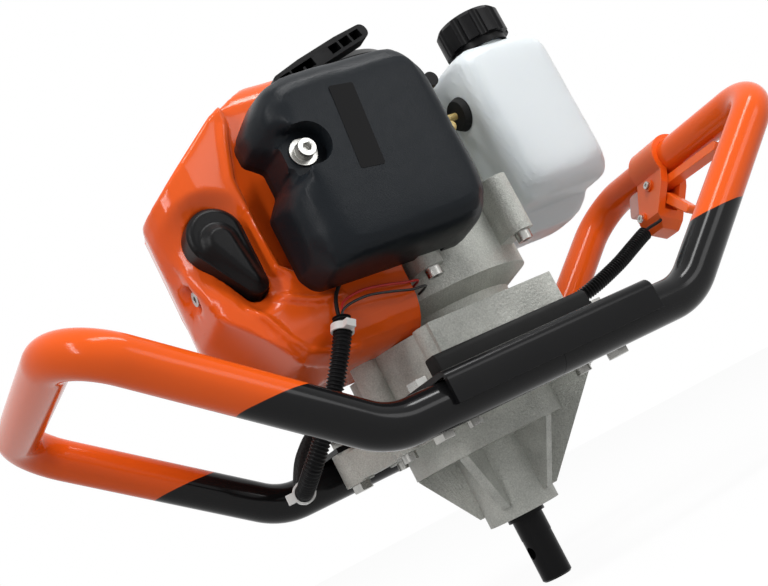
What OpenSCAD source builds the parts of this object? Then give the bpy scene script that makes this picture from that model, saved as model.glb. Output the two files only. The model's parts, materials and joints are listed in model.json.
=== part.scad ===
// Earth auger power head: a small two-stroke engine on a reduction gearbox, held in a
// two-hand tube frame. The output shaft points down and the origin is the centre of its cross-pin hole.
// Heights in the modules are measured from the axis of the two straight bars of the frame.

/* [Frame] */
// Outer diameter of the handle tube
tube_d = 26; // [22:0.5:30]
// Wall of the handle tube
tube_wall = 2; // [1.5:0.25:3]
// Distance between the axes of the front and rear bars
bar_gap = 195; // [190:1:205]
// How far the middle of the frame lies in front of the output shaft
bar_shift = 9.5; // [8:0.5:11]
// Distance from the middle of the frame to the bend of each bar
bend_x = 111.5; // [105:0.5:125]
// Length of a rising handle from its bend to the grip axis
rise_len = 175; // [165:1:190]
// Slope of the rising handles
rise_angle = 36.9; // [33:0.1:40]
// Distance between the two corners of a grip
grip_gap = 209; // [203:1:218]
// Bend radius where a bar turns up
bar_bend_r = 45; // [40:1:55]
// Bend radius at the ends of a grip
corner_bend_r = 32; // [28:1:38]
// Height of the bar axes above the cross-pin hole
bar_height = 98.5; // [97:0.5:100]

/* [Frame joint] */
// Length of a saddle plate beyond each frame bolt
saddle_end = 9; // [7:0.5:13]
// Thickness of a saddle plate
plate_t = 3.5; // [2.5:0.25:4]
// How far the skirt of a saddle plate hangs below its top
skirt_h = 20; // [14:1:24]
// Length of a rubber mount
rubber_w = 114; // [100:1:116]
// Height of a rubber mount
rubber_h = 13.5; // [10:0.5:16]
// Depth of a rubber mount
rubber_t = 14; // [11:0.5:15]
// Distance from the end of a rubber mount to the frame bolt beside it
bolt_out = 10; // [9:0.5:12]
// Diameter of the frame bolts
frame_bolt_d = 8; // [6:1:8]

/* [Gearbox] */
// Diameter of the output shaft
shaft_d = 20; // [18:0.5:22]
// Length of output shaft that stands out of the snout
shaft_out = 44.5; // [43:0.5:50]
// Height of the cross-pin hole above the tip of the shaft
pin_above_tip = 20; // [17:0.5:24]
// Diameter of the cross-pin hole
pin_hole_d = 8; // [6:0.5:9]
// Diameter of the snout
snout_d = 48; // [47:0.5:54]
// Length of the snout below the drum
snout_len = 47; // [45:0.5:50]
// Diameter of the drum under the flange
drum_d = 104; // [98:1:110]
// Height of the drum
drum_h = 17; // [14:0.5:20]
// How far the underside of the flange lies below the bar axes
flange_drop = 10; // [9:0.5:12]
// Height of the lower case's flange
lower_h = 22; // [21:0.5:22.5]
// Height of the upper case
upper_h = 38; // [37:0.5:42]
// Diameter of the round body of the case
case_d = 130; // [127:1:131]
// Width of the flat front and back of the case
case_flat_w = 94; // [84:1:100]
// Distance from the bar axis to the flat face of the case beside it
case_face_gap = 32; // [30:0.5:34]
// Outer diameter of the output bearings
bearing_d = 42; // [40:0.5:43]
// Width of the output bearings
bearing_w = 12; // [10:0.5:13]
// Thickness of the casting ribs on the snout
rib_t = 6; // [4:0.5:8]
// Number of casting ribs round the snout
rib_count = 5; // [4:1:6]
// Diameter of the gearbox bolts
case_bolt_d = 6; // [5:0.5:6.5]

/* [Gear train] */
// Module of the first gear pair
fast_module = 1.25; // [1.2:0.05:1.25]
// Module of the second gear pair
slow_module = 2; // [1.9:0.05:2]
// Teeth of each pinion
pinion_teeth = 8; // [8:1:9]
// Teeth of the layshaft gear
fast_teeth = 48; // [46:1:48]
// Teeth of the output gear
slow_teeth = 38; // [36:1:38]
// Face width of the layshaft gear
fast_face = 10; // [8:0.5:10]
// Face width of the output gear
slow_face = 14; // [11:0.5:14]
// Play between tooth flanks, in modules
tooth_play = 0.14; // [0.12:0.01:0.2]

/* [Clutch and crankcase] */
// Offset of the crankshaft to the right of the output shaft
crank_x = 14; // [13.5:0.5:15]
// Diameter of the fan housing
housing_d = 126; // [124:1:130]
// Diameter of the neck on the gearbox
neck_d = 92; // [90:1:96]
// Height of the lower housing that holds clutch and fan
clutch_h = 44; // [43:0.5:46]
// Height of the fan case above it
fan_h = 24; // [23:0.5:26]
// Height of the crankcase above the fan case
crankcase_h = 78; // [76:1:82]
// Outer diameter of the clutch drum
clutch_d = 76; // [72:0.5:77]
// Play between a clutch shoe at rest and the drum
shoe_play = 1.8; // [1:0.1:2.5]
// Diameter of the fan
fan_d = 94; // [88:1:100]
// Number of fan blades
fan_blades = 14; // [8:1:18]
// Diameter of the main journal of the crankshaft
crank_d = 20; // [16:0.5:22]
// Diameter of the cooling fins
fin_d = 76; // [68:1:76]
// Number of cooling fins
fin_count = 9; // [6:1:11]

/* [Engine cover] */
// How far the cover reaches to the left of the output shaft
cover_reach = 160; // [158:1:166]
// Width of the cover from front to back
cover_w = 132; // [128:1:132]
// Height of the cover
cover_h = 186; // [182:1:190]
// Wall of the cover
cover_wall = 2.5; // [2:0.25:3]

/* [Air filter] */
// Width of the filter cover
filter_w = 118; // [112:1:120]
// Height of the filter cover
filter_h = 117; // [112:1:120]
// Depth of the filter cover
filter_depth = 40; // [38:0.5:46]
// Wall of the filter cover
filter_wall = 2.5; // [2:0.25:3]
// Thickness of the filter base
base_t = 6; // [5:0.5:7]
// Length of the carburettor from the intake block to the filter base
carb_len = 28; // [27:0.5:30]

/* [Starter] */
// Diameter of the starter housing
starter_d = 104; // [102:1:105]
// Height of the starter housing
starter_h = 42; // [40:0.5:46]
// Diameter of the rope where it winds on the pulley
rope_circle_d = 76; // [72:1:78]
// Diameter of the starter rope
rope_d = 4; // [3:0.25:4.5]
// Length of the starter grip
pull_len = 78; // [70:1:84]
// Tilt of the starter grip
pull_tilt = 15; // [0:1:18]

/* [Fuel tank] */
// Width of the tank
tank_w = 78; // [74:1:82]
// Depth of the tank
tank_depth = 96; // [92:1:102]
// Height of the tank
tank_h = 114; // [110:1:120]
// Radius of the tank's long edges
tank_r = 15; // [10:1:20]
// Wall of the tank
tank_wall = 2.5; // [2:0.25:3.5]
// How far the back of the tank reaches below its front
tank_foot = 12; // [8:1:15]
// Diameter of the fuel cap
cap_d = 47; // [44:0.5:50]
// Height of the fuel cap
cap_h = 25; // [22:0.5:28]
// Number of grip flutes on the cap
cap_flutes = 10; // [8:1:14]
// Diameter of the filler neck
neck_bore_d = 34; // [32:0.5:36]

/* [Throttle unit] */
// Length of the throttle housing along the grip
unit_len = 32; // [30:1:36]
// Reach of the throttle housing below the grip axis
unit_reach = 55; // [53:1:60]
// Thickness of the throttle housing
unit_t = 22; // [21:0.5:26]
// Length of the lock-out lever from its pivot
lock_len = 71; // [60:1:78]
// Length of the throttle trigger from its pivot
trigger_len = 34; // [28:1:36]
// Travel of the stop button
button_travel = 3; // [2:0.25:3.5]

/* [Wiring conduit] */
// Outer diameter of the ribbed conduit
conduit_d = 11; // [10:0.25:12]
// Bore of the ribbed conduit
conduit_bore = 7.2; // [7:0.1:7.5]
// Depth of a rib
conduit_rib = 0.8; // [0.5:0.1:1]
// Number of ribs along the conduit
conduit_ribs = 145; // [120:5:150]

/* [Hidden] */
$fn = 48;
// Radial play of a shaft that turns in its bearing
run_fit = 0.05;
// Play between pieces that only sit against each other
seat = 0.15;
// Overrun of a cut past the face that it opens
over = 1;
arc_steps = 6;
// Step and lap where a straight tube runs into its bend
joint_step = 0.15;
joint_lap = 0.8;

orange = "#f05a14";
black = "#1c1d20";
cast_grey = "#a3a5a0";
steel = "#8b8d90";
bright = "#c9cbcd";
white = "#e9ecee";
rubber = "#2a2b2c";
brass = "#b08d4a";

// Frame
tube_r = tube_d / 2;
mid_y = -bar_shift;
front_y = mid_y - bar_gap / 2;
rear_y = mid_y + bar_gap / 2;
frame_bolt_gap = rubber_w + 2 * bolt_out;
saddle_w = frame_bolt_gap + 2 * saddle_end;
grip_x = bend_x + rise_len * cos(rise_angle);
grip_z = rise_len * sin(rise_angle);
seam = 0.1;

// Gearbox levels
flange_z = -flange_drop;
split_z = flange_z + lower_h;
deck_z = split_z + upper_h;
drum_z = flange_z - drum_h;
snout_z = drum_z - snout_len;
tip_z = snout_z - shaft_out;
pin_z = tip_z + pin_above_tip;
shaft_r = shaft_d / 2;
shaft_collar = 3;
stop_up = 8.6;
stop_step = 0.3;
journal_r = shaft_r + 2.5;
case_r = case_d / 2;
case_mid = [4, mid_y];
face_y = front_y + case_face_gap;
back_y = rear_y - case_face_gap;
case_wall = 4;
floor_z = split_z - 11;
seal_w = 7;
seal_d = 35;
bearing_low_z = snout_z + seal_w + 1;
bearing_high_z = floor_z - bearing_w;

// Saddle plates and frame bolts
saddle_z = tube_r + seam;
saddle_top = saddle_z + plate_t;
saddle_front = front_y - tube_r - seam - plate_t;
ear_r = 10;
ear_top = saddle_z - seam;
ear_y = face_y;
bolt_play = 0.25;

// Gear train
fast_gap = fast_module * (pinion_teeth + fast_teeth) / 2;
slow_gap = slow_module * (pinion_teeth + slow_teeth) / 2;
lay_x = (slow_gap * slow_gap - fast_gap * fast_gap + crank_x * crank_x) / (2 * crank_x);
lay_y = -sqrt(slow_gap * slow_gap - lay_x * lay_x);
lay = [lay_x, lay_y];
input = [crank_x, 0];
lay_heading = atan2(lay_y, lay_x);
input_heading = atan2(-lay_y, crank_x - lay_x);
shift = 0.5;
pressure = 20;
tip_trim = 0.25;
gear_play = 2;
slow_z = floor_z + 1;
fast_z = slow_z + slow_face + 4;
fast_top = fast_z + fast_face;
lay_bearing_d = 28;
lay_bearing_w = 8;
lay_journal_r = 6;
lay_low_z = floor_z - lay_bearing_w;
lay_high_z = fast_top + 2;
drum_bearing_d = 35;
drum_bearing_w = 11;
drum_journal_r = 7.5;
drum_bearing_z = deck_z - 5 - drum_bearing_w;
slow_tip_r = gear_tip(slow_module, slow_teeth, -shift, 0);
fast_tip_r = gear_tip(fast_module, fast_teeth, -shift, 0);
case_bolt_r = case_bolt_d / 2;
case_boss_r = 9;
case_bolt_ring = case_r + 4;
case_bolt_angles = [188, 232, 308, 5, 52, 128];
case_bolt_depth = 24;

// Clutch, fan and crankcase levels
fan_split_z = deck_z + clutch_h;
crank_deck_z = fan_split_z + fan_h;
crank_top_z = crank_deck_z + crankcase_h;
housing_r = housing_d / 2;
housing_wall = 5;
clutch_r = clutch_d / 2;
clutch_wall = 2.5;
clutch_z = deck_z + 2;
clutch_depth = 26;
shoe_z = clutch_z + 7;
shoe_h = 16;
shoe_out_r = clutch_r - clutch_wall - shoe_play;
shoe_in_r = 17;
shoe_gap = 11;
rotor_r = 14;
fan_z = fan_split_z - 9;
fan_disc = 4;
fan_blade_h = 17;
fan_r = fan_d / 2;
crank_r = crank_d / 2;
crank_stub_r = 6;
block_w = 72;
block_depth = 76;
cyl_z = crank_deck_z + crankcase_h / 2;
cyl_x = crank_x - block_w / 2;
fin_r = fin_d / 2;
barrel_r = 27;
fin_t = 2.2;
ear_bolt_x = 35;
ear_bolt_y = 72;
ear_boss_r = 8;
ear_drop = 14;
housing_bolt_r = 3;
intake_y = -block_depth / 2;
block_t = 8;
carb_y = intake_y - block_t;
carb_w = 32;
carb_h = 42;
carb_x = 2;
base_y = carb_y - carb_len;
plug_seat_y = -33;
starter_ear_r = 7;
starter_ear_h = 10;

// Engine cover
cover_z = deck_z;
cover_top = cover_z + cover_h;
cover_right = -35;
cover_slant = 34;
cover_fold = -34;
cover_y = cover_w / 2;
boot = [-134, cyl_z - 14];
boot_r = 17;
boot_tail = [-124, cyl_z - 47];
cyl_len = cyl_x - boot.x;
boot_tail_r = 7;
boot_play = 1.5;
boot_proud = 9;

// Air filter
filter_right = 14;
filter_left = filter_right - filter_w;
filter_low = 86;
filter_top = filter_low + filter_h;
filter_back = base_y - base_t;
filter_front = filter_back - filter_depth;
filter_bolt = [filter_left + 22, 160];
filter_bolt_r = 3;
recess_r = 13;
recess_depth = 13;

// Starter
starter_r = starter_d / 2;
starter_top = crank_top_z + starter_h;
starter_wall = 3;
rope_x = crank_x - rope_circle_d / 2;
rope_r = rope_d / 2;
groove_r = rope_circle_d / 2 - rope_r - 0.2;
pulley_r = rope_circle_d / 2 + 4;
pulley_t = 14;
pulley_z = starter_top - starter_wall - 3 - pulley_t;
rope_z = pulley_z + pulley_t / 2;
post_r = 6;
guide_r = 8;
guide_y = -starter_r - 6;
pull_y = guide_y - 0.3;
pull_t = 12;
pull_h = 13;
stem_len = 8.5;

// Fuel tank
tank_left = crank_x + housing_r + 1;
tank_front = -62;
tank_low = fan_split_z + 6;
tank_top = tank_low + tank_h;
tank_mid = [tank_left + tank_w / 2, tank_front + tank_depth / 2];
neck_at = [tank_left + tank_w / 2, tank_front + 25];
neck_h = 14;
neck_wall = 2.5;
cap_gap = 2;
cap_wall = 2.5;
grommet_at = [tank_front + 26, tank_low + 77];
grommet_r = 12;
grommet_t = 5;
pad_h = 40;

// Throttle unit, in the frame of the right grip: x square to the unit, y along the grip, -z down the unit
unit_tilt = 30;
unit_front = -8;
unit_back = unit_front + unit_len;
unit_ring_r = tube_r + 4.5;
clamp_play = 0.1;
unit_half = unit_t / 2;
unit_chamfer = 8;
lock_pivot = [6, -20];
lock_h = 7;
lock_drop = 5.5;
trigger_pivot = [-2, -34];
trigger_h = 8;
trigger_slope = 40;
lever_t = 9;
lever_play = 0.8;
lever_hub_r = 4.2;
pin_r = 2;
button_w = 16;
button_h = 20;
button_z = -25;
button_out = 16;
button_play = 0.4;
button_depth = button_travel + 3;
unit_screw_spots = [[8, -21], [19, -44]];

// Wiring: route points chosen along the real run of the conduit
conduit_route = [
  [205, 8, 60.5], [190, 9, 55], [168, 10, 47], [138, 16, 39], [112, 34, 36], [88, 58, 38], [58, 75, 41],
  [20, 79, 42], [-30, 79, 41], [-70, 70, 35], [-98, 46, 21], [-120, 14, 5], [-134, -16, -4],
  [-136, -40, 1], [-126, -56, 16], [-112, -67, 36], [-101, -73, 53], [-94, -74, 64], [-90, -73, 72]
];
conduit_start = [-0.96, 0, -0.27];
conduit_finish = [0.35, 0.1, 0.93];
conduit_sides = 8;
cord_rings = 60;
cable_r = 1.2;
cable_side = [1.5, 0];
wire_r = 0.8;
wire_sides = [[-1.2, -1.2], [-1.2, 1.2]];
cable_y = 2;
wire_y = 16.6;
wire_gap = 3;
cable_tail = [[-84, -69.6, 87], [-66, -69.3, 102], [-46, -69, 122], [-31, -68.4, 144], [-26, -58, 166],
  [-14.3, -54, 176]];
wire_tails = [
  [[-84, -71.5, 80], [-70, -71, 83], [-54, -70.5, 81], [-40, -69.5, 78], [-30, -66, 77], [-27, -48.3, 77]],
  [[-84, -74, 77], [-70, -75, 78], [-54, -74.5, 75], [-40, -72.5, 72], [-28, -68, 72], [-24.5, -50.3, 72]]
];
tie_w = 4.5;
tie_t = 1.2;
tie_spots = [0.955, 0.67];

// Vector and outline helpers
function unit(v) = v / norm(v);

function fillet(a, b, c, r) =
  let (u = unit(a - b),
    v = unit(c - b),
    half = acos(u * v) / 2,
    mid = b + unit(u + v) * (r / sin(half)),
    p = b + u * (r / tan(half)) - mid,
    q = b + v * (r / tan(half)) - mid,
    start = atan2(p.y, p.x),
    sweep = atan2(p.x * q.y - p.y * q.x, p * q))
  [for (i = [0:arc_steps]) mid + r * [cos(start + sweep * i / arc_steps), sin(start
    + sweep * i / arc_steps)]];

// Outline with every corner rounded; radii holds one radius for each corner
function rounded(points, radii) =
  let (n = len(points))
  [for (i = [0:n - 1]) each fillet(points[(i + n - 1) % n], points[i], points[(i + 1) % n], radii[i])];

// Outline moved inwards by d; the points run counter-clockwise
function inset(points, d) =
  let (n = len(points))
  [for (i = [0:n - 1])
    let (e = unit(points[i] - points[(i + n - 1) % n]),
      f = unit(points[(i + 1) % n] - points[i]),
      p = [-e.y, e.x],
      q = [-f.y, f.x])
    points[i] + (p + q) * d / (1 + p * q)];

function box_points(low, high) = [low, [high.x, low.y], high, [low.x, high.y]];

// Gear tooth outline: involute flanks on a base circle, straight below it
function involute(x) = tan(x) - x * PI / 180;

function gear_tip(size, teeth, shift, trim) = size * (teeth / 2 + 1 + shift - trim);

function flank(size, teeth, shift, play, r) =
  let (base = size * teeth / 2 * cos(pressure),
    half = (PI / 2 + 2 * shift * tan(pressure) - play) / teeth,
    lean = r > base ? involute(acos(base / r)) : 0)
  (half + involute(pressure) - lean) * 180 / PI;

function gear_points(size, teeth, shift, trim, play, steps = 4) =
  let (tip = gear_tip(size, teeth, shift, trim),
    root = size * (teeth / 2 - 1.25 + shift))
  [for (t = [0:teeth - 1])
    let (mid = t * 360 / teeth)
    each concat(
      [for (i = [0:steps])
        let (r = root + (tip - root) * i / steps, a = mid - flank(size, teeth, shift, play, r))
        [r * cos(a), r * sin(a)]],
      [for (i = [0:steps])
        let (r = tip + (root - tip) * i / steps, a = mid + flank(size, teeth, shift, play, r))
        [r * cos(a), r * sin(a)]])];

// Shared building blocks
module lift() {
  translate([0, 0, bar_height]) children();
}

module at_rear() {
  translate([0, mid_y, 0]) mirror([0, 1, 0]) translate([0, -mid_y, 0]) children();
}

module both_bars() {
  children();
  at_rear() children();
}

module pipe(from, to, r) {
  d = to - from;
  translate(from)
    rotate([0, acos(d.z / norm(d)), atan2(d.y, d.x)])
      cylinder(r = r, h = norm(d));
}

module ring(outer, inner, h) {
  difference() {
    cylinder(r = outer, h = h);
    translate([0, 0, -over]) cylinder(r = inner, h = h + 2 * over);
  }
}

// Round bar along a line of points, with a bend of its own radius at each inner point
module bent_bar(points, bends, r) {
  n = len(points);
  trim = [for (i = [0:n - 1])
    i == 0 || i == n - 1 ? 0 :
      let (u = unit(points[i] - points[i - 1]), v = unit(points[i + 1] - points[i]))
      bends[i - 1] * tan(acos(u * v) / 2)];
  for (i = [0:n - 2]) {
    u = unit(points[i + 1] - points[i]);
    low = i == 0 ? 0 : joint_lap;
    high = i == n - 2 ? 0 : joint_lap;
    pipe(points[i] + u * (trim[i] - low), points[i + 1] - u * (trim[i + 1] - high), r - joint_step);
  }
  for (i = [1:n - 2]) {
    u = unit(points[i] - points[i - 1]);
    v = unit(points[i + 1] - points[i]);
    turn = acos(u * v);
    centre = points[i] + unit(v - u) * bends[i - 1] / cos(turn / 2);
    x = unit(points[i] - u * trim[i] - centre);
    z = cross(x, u);
    multmatrix([[x.x, u.x, z.x, centre.x], [x.y, u.y, z.y, centre.y], [x.z, u.z, z.z, centre.z], [0, 0,
      0, 1]])
      rotate_extrude(angle = turn) translate([bends[i - 1], 0]) circle(r = r);
  }
}

// Prism on an outline drawn in x and z, from y = low to y = high
module slab_y(points, low, high) {
  translate([0, high, 0]) rotate([90, 0, 0]) linear_extrude(high - low) polygon(points);
}

// Prism on an outline drawn in y and z, from x = low to x = high
module slab_x(points, low, high) {
  translate([low, 0, 0]) rotate([90, 0, 90]) linear_extrude(high - low) polygon(points);
}

module slab_z(points, low, high) {
  translate([0, 0, low]) linear_extrude(high - low) polygon(points);
}

module hex_head(r, h) {
  cylinder(r = r, h = h, $fn = 6);
}

module socket_head(r, h, key) {
  difference() {
    cylinder(r = r, h = h);
    translate([0, 0, h / 2]) cylinder(r = key, h = h, $fn = 6);
  }
}

// Handle frame
function handle_points(side) = [
  [side * seam, front_y, 0],
  [side * bend_x, front_y, 0],
  [side * grip_x, mid_y - grip_gap / 2, grip_z],
  [side * grip_x, mid_y + grip_gap / 2, grip_z],
  [side * bend_x, rear_y, 0],
  [side * seam, rear_y, 0]
];

module handle(side) {
  bends = [bar_bend_r, corner_bend_r, corner_bend_r, bar_bend_r];
  lift() difference() {
    bent_bar(handle_points(side), bends, tube_r);
    bent_bar(handle_points(side), bends, tube_r - tube_wall);
  }
}

module left_handle() {
  color(orange) handle(-1);
}

module right_handle() {
  color(orange) handle(1);
}

module saddle() {
  reach = ear_y + ear_r - 1;
  inner = face_y - 1.5;
  half = saddle_w / 2;
  low = saddle_top - skirt_h;
  corner = plate_t + 3;
  difference() {
    union() {
      slab_x([[saddle_front, low], [saddle_front + plate_t, low], [saddle_front + plate_t, saddle_z],
          [reach, saddle_z], [reach, saddle_top], [saddle_front + corner, saddle_top],
          each [for (i = [1:arc_steps - 1])
            [saddle_front + corner, saddle_top - corner]
              + corner * [-sin(90 * i / arc_steps), cos(90 * i / arc_steps)]],
          [saddle_front, saddle_top - corner]],
         -half, half);
    }
    translate([-rubber_w / 2 - 1, inner, saddle_z - over])
      cube([rubber_w + 2, reach - inner + over, plate_t + 2 * over]);
    for (s = [-1, 1]) {
      translate([s * frame_bolt_gap / 2, ear_y, saddle_z - over])
        cylinder(d = frame_bolt_d + 2 * bolt_play, h = plate_t + 2 * over);
      translate([s * half, saddle_front - over, low])
        rotate([0, s * 30, 0])
          translate([s > 0 ? 0 : -20, 0, -20])
            cube([20, plate_t + 2 * over, 20 + skirt_h / 2]);
    }
  }
}

module front_saddle_plate() {
  color(black) lift() saddle();
}

module rear_saddle_plate() {
  color(black) lift() at_rear() saddle();
}

module rubber_mount() {
  high = saddle_top + rubber_h;
  back = face_y - seat;
  slab_x(rounded(box_points([back - rubber_t, saddle_top], [back, high]), [1, 1, 2, 4]),
     -rubber_w / 2, rubber_w / 2);
}

module front_rubber_mount() {
  color(rubber) lift() rubber_mount();
}

module rear_rubber_mount() {
  color(rubber) lift() at_rear() rubber_mount();
}

module frame_bolts() {
  head = 5.5;
  color(bright) lift() both_bars() for (s = [-1, 1])
    translate([s * frame_bolt_gap / 2, ear_y, 0]) {
      translate([0, 0, flange_z - head]) hex_head(frame_bolt_d * 0.9, head);
      translate([0, 0, flange_z - over]) cylinder(d = frame_bolt_d, h = saddle_top - flange_z + 2 * over);
      translate([0, 0, saddle_top]) hex_head(frame_bolt_d * 0.9, head);
    }
}

// Gearbox
module case_bolt_spots() {
  for (a = case_bolt_angles)
    translate([case_mid.x + case_bolt_ring * cos(a), case_mid.y + case_bolt_ring * sin(a), 0]) children();
}

module case_outline() {
  translate(case_mid) circle(r = case_r);
  translate(lay) circle(r = fast_tip_r + gear_play + case_wall);
  translate([case_mid.x - case_flat_w / 2, face_y]) square([case_flat_w, back_y - face_y]);
  case_bolt_spots() circle(r = case_boss_r);
}

module frame_ears() {
  both_bars() for (s = [-1, 1]) {
    translate([s * frame_bolt_gap / 2, ear_y, flange_z]) cylinder(r = ear_r, h = ear_top - flange_z);
    translate([s * frame_bolt_gap / 2, ear_y, flange_z])
      rotate([0, 0, s > 0 ? 135 : 45])
        translate([0, 1 - ear_r, 1])
          cube([42, 2 * ear_r - 2, split_z - flange_z - 2]);
  }
}

module snout_rib(reach, top, heading) {
  foot = snout_z + 8;
  rotate([0, 0, heading])
    slab_y([[0, foot], [snout_d / 2 + 3, foot], [reach, top - 1], [reach, top + over], [0, top + over]],
       -rib_t / 2, rib_t / 2);
}

module gearbox_lower_case() {
  rib_start = -68;
  color(cast_grey) lift() difference() {
    union() {
      translate([0, 0, flange_z]) linear_extrude(lower_h) case_outline();
      frame_ears();
      translate([0, 0, drum_z]) cylinder(d = drum_d, h = drum_h + over);
      translate([0, 0, snout_z]) cylinder(d = snout_d, h = snout_len + over);
      for (i = [0:rib_count - 1])
        snout_rib(drum_d / 2 - 1, drum_z, rib_start - i * 360 / rib_count);
      snout_rib(slow_gap + fast_tip_r + gear_play + case_wall - 2, flange_z, lay_heading);
    }
    translate([0, 0, floor_z]) cylinder(r = slow_tip_r + gear_play, h = split_z);
    translate([lay.x, lay.y, lay_low_z])
      cylinder(d = lay_bearing_d + 2 * run_fit, h = split_z + lay_bearing_w);
    translate([0, 0, bearing_low_z])
      cylinder(d = bearing_d + 2 * run_fit, h = floor_z - bearing_low_z + over);
    translate([0, 0, snout_z - over]) cylinder(d = seal_d + 2 * run_fit, h = seal_w + 2 * over + 1);
    case_bolt_spots() translate([0, 0, flange_z - over])
      cylinder(r = case_bolt_r + bolt_play, h = lower_h + 2 * over);
    both_bars() for (s = [-1, 1])
      translate([s * frame_bolt_gap / 2, ear_y, flange_z - over])
        cylinder(d = frame_bolt_d + 2 * bolt_play, h = lower_h + 3 * over);
  }
}

module gearbox_upper_case() {
  color(cast_grey) lift() difference() {
    translate([0, 0, split_z]) linear_extrude(upper_h) case_outline();
    translate([0, 0, split_z - over])
      cylinder(r = slow_tip_r + gear_play, h = slow_z + slow_face + 1.5 - split_z + over);
    translate([lay.x, lay.y, split_z - over])
      cylinder(r = fast_tip_r + gear_play, h = fast_top + 2 - split_z + over);
    translate([lay.x, lay.y, lay_high_z - over])
      cylinder(d = lay_bearing_d + 2 * run_fit, h = lay_bearing_w + over);
    translate([input.x, input.y, slow_z + slow_face])
      cylinder(r = drum_journal_r + 3, h = drum_bearing_z - slow_z - slow_face + over);
    translate([input.x, input.y, drum_bearing_z]) cylinder(d = drum_bearing_d + 2 * run_fit, h = deck_z);
    case_bolt_spots() translate([0, 0, split_z - over])
      cylinder(r = case_bolt_r + bolt_play, h = case_bolt_depth + over);
  }
}

module gearbox_bolts() {
  head = 5;
  color(bright) lift() case_bolt_spots() {
    translate([0, 0, flange_z]) mirror([0, 0, 1]) socket_head(case_bolt_r * 1.65, head, case_bolt_r * 0.8);
    translate([0, 0, flange_z - over]) cylinder(r = case_bolt_r, h = lower_h + case_bolt_depth);
  }
}

module oil_seal() {
  color(rubber) lift() translate([0, 0, snout_z + 0.5]) ring(seal_d / 2, journal_r + run_fit, seal_w - 0.5);
}

module ball_bearing(outer, inner, w) {
  groove = (outer + inner) / 2;
  difference() {
    ring(outer, inner, w);
    for (z = [0, w])
      translate([0, 0, z - 1]) ring(groove + 1.5, groove - 1.5, 2);
  }
}

module output_bearings() {
  color(steel) lift() for (z = [bearing_low_z, bearing_high_z])
    translate([0, 0, z]) ball_bearing(bearing_d / 2, journal_r + run_fit, bearing_w);
}

module layshaft_bearings() {
  color(steel) lift() for (z = [lay_low_z, lay_high_z])
    translate([lay.x, lay.y, z]) ball_bearing(lay_bearing_d / 2, lay_journal_r + run_fit, lay_bearing_w);
}

module drum_bearing() {
  color(steel) lift() translate([input.x, input.y, drum_bearing_z])
    ball_bearing(drum_bearing_d / 2, drum_journal_r + run_fit, drum_bearing_w);
}

module output_shaft() {
  chamfer = 1.2;
  collar_z = snout_z - shaft_collar;
  color(black) lift() difference() {
    union() {
      translate([0, 0, tip_z]) cylinder(r1 = shaft_r - chamfer, r2 = shaft_r, h = chamfer);
      translate([0, 0, tip_z + chamfer]) cylinder(r = shaft_r, h = slow_z + slow_face - tip_z - chamfer);
      translate([0, 0, pin_z + stop_up])
        cylinder(r = shaft_r + stop_step, h = collar_z - pin_z - stop_up + over);
      translate([0, 0, collar_z]) cylinder(r = journal_r, h = slow_z - seat - collar_z);
    }
    translate([-shaft_d, 0, pin_z]) rotate([0, 90, 0]) cylinder(d = pin_hole_d, h = 2 * shaft_d);
  }
}

module output_gear() {
  holes = 6;
  hole_ring = (slow_tip_r + shaft_r) / 2;
  color(steel) lift() translate([0, 0, slow_z]) difference() {
    rotate([0, 0, lay_heading])
      linear_extrude(slow_face) polygon(gear_points(slow_module, slow_teeth, -shift, 0, tooth_play));
    translate([0, 0, -over]) cylinder(r = shaft_r + 0.02, h = slow_face + 2 * over);
    for (i = [0:holes - 1])
      rotate([0, 0, i * 360 / holes])
        translate([hole_ring, 0, -over]) cylinder(r = 4.5, h = slow_face + 2 * over);
  }
}

module layshaft() {
  low = lay_low_z + 0.5;
  hub_r = slow_module * (pinion_teeth / 2 - 1.25 + shift);
  color(steel) lift() translate([lay.x, lay.y, 0]) {
    translate([0, 0, low]) cylinder(r = lay_journal_r, h = lay_high_z + lay_bearing_w - low - 0.5);
    translate([0, 0, slow_z - 0.5])
      rotate([0, 0, lay_heading + 180 + 180 / pinion_teeth])
        linear_extrude(slow_face + 1)
          polygon(gear_points(slow_module, pinion_teeth, shift, tip_trim, tooth_play));
    translate([0, 0, slow_z + slow_face]) cylinder(r = hub_r + 1, h = fast_z - slow_z - slow_face - 0.02);
  }
}

module layshaft_gear() {
  web = 3;
  rim = fast_tip_r - 7;
  color(steel) lift() translate([lay.x, lay.y, fast_z]) difference() {
    rotate([0, 0, input_heading])
      linear_extrude(fast_face) polygon(gear_points(fast_module, fast_teeth, -shift, 0, tooth_play));
    translate([0, 0, -over]) cylinder(r = lay_journal_r + 0.02, h = fast_face + 2 * over);
    for (z = [-over, fast_face - web])
      translate([0, 0, z]) ring(rim, lay_journal_r + 5, web + over);
  }
}

// Clutch
module clutch_drum() {
  pinion_low = fast_z - 0.5;
  pinion_len = fast_face + 1;
  color(steel) lift() translate([input.x, input.y, 0]) {
    translate([0, 0, pinion_low])
      rotate([0, 0, input_heading + 180 + 180 / pinion_teeth])
        linear_extrude(pinion_len)
          polygon(gear_points(fast_module, pinion_teeth, shift, tip_trim, tooth_play));
    translate([0, 0, pinion_low + pinion_len - 0.3])
      cylinder(r = drum_journal_r, h = clutch_z - pinion_low - pinion_len + over);
    translate([0, 0, clutch_z]) difference() {
      cylinder(r = clutch_r, h = clutch_depth);
      translate([0, 0, clutch_wall]) cylinder(r = clutch_r - clutch_wall, h = clutch_depth);
      for (i = [0:5])
        rotate([0, 0, i * 60]) translate([clutch_r * 0.6, 0, -over])
          cylinder(r = 5, h = clutch_wall + 2 * over);
    }
  }
}

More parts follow.
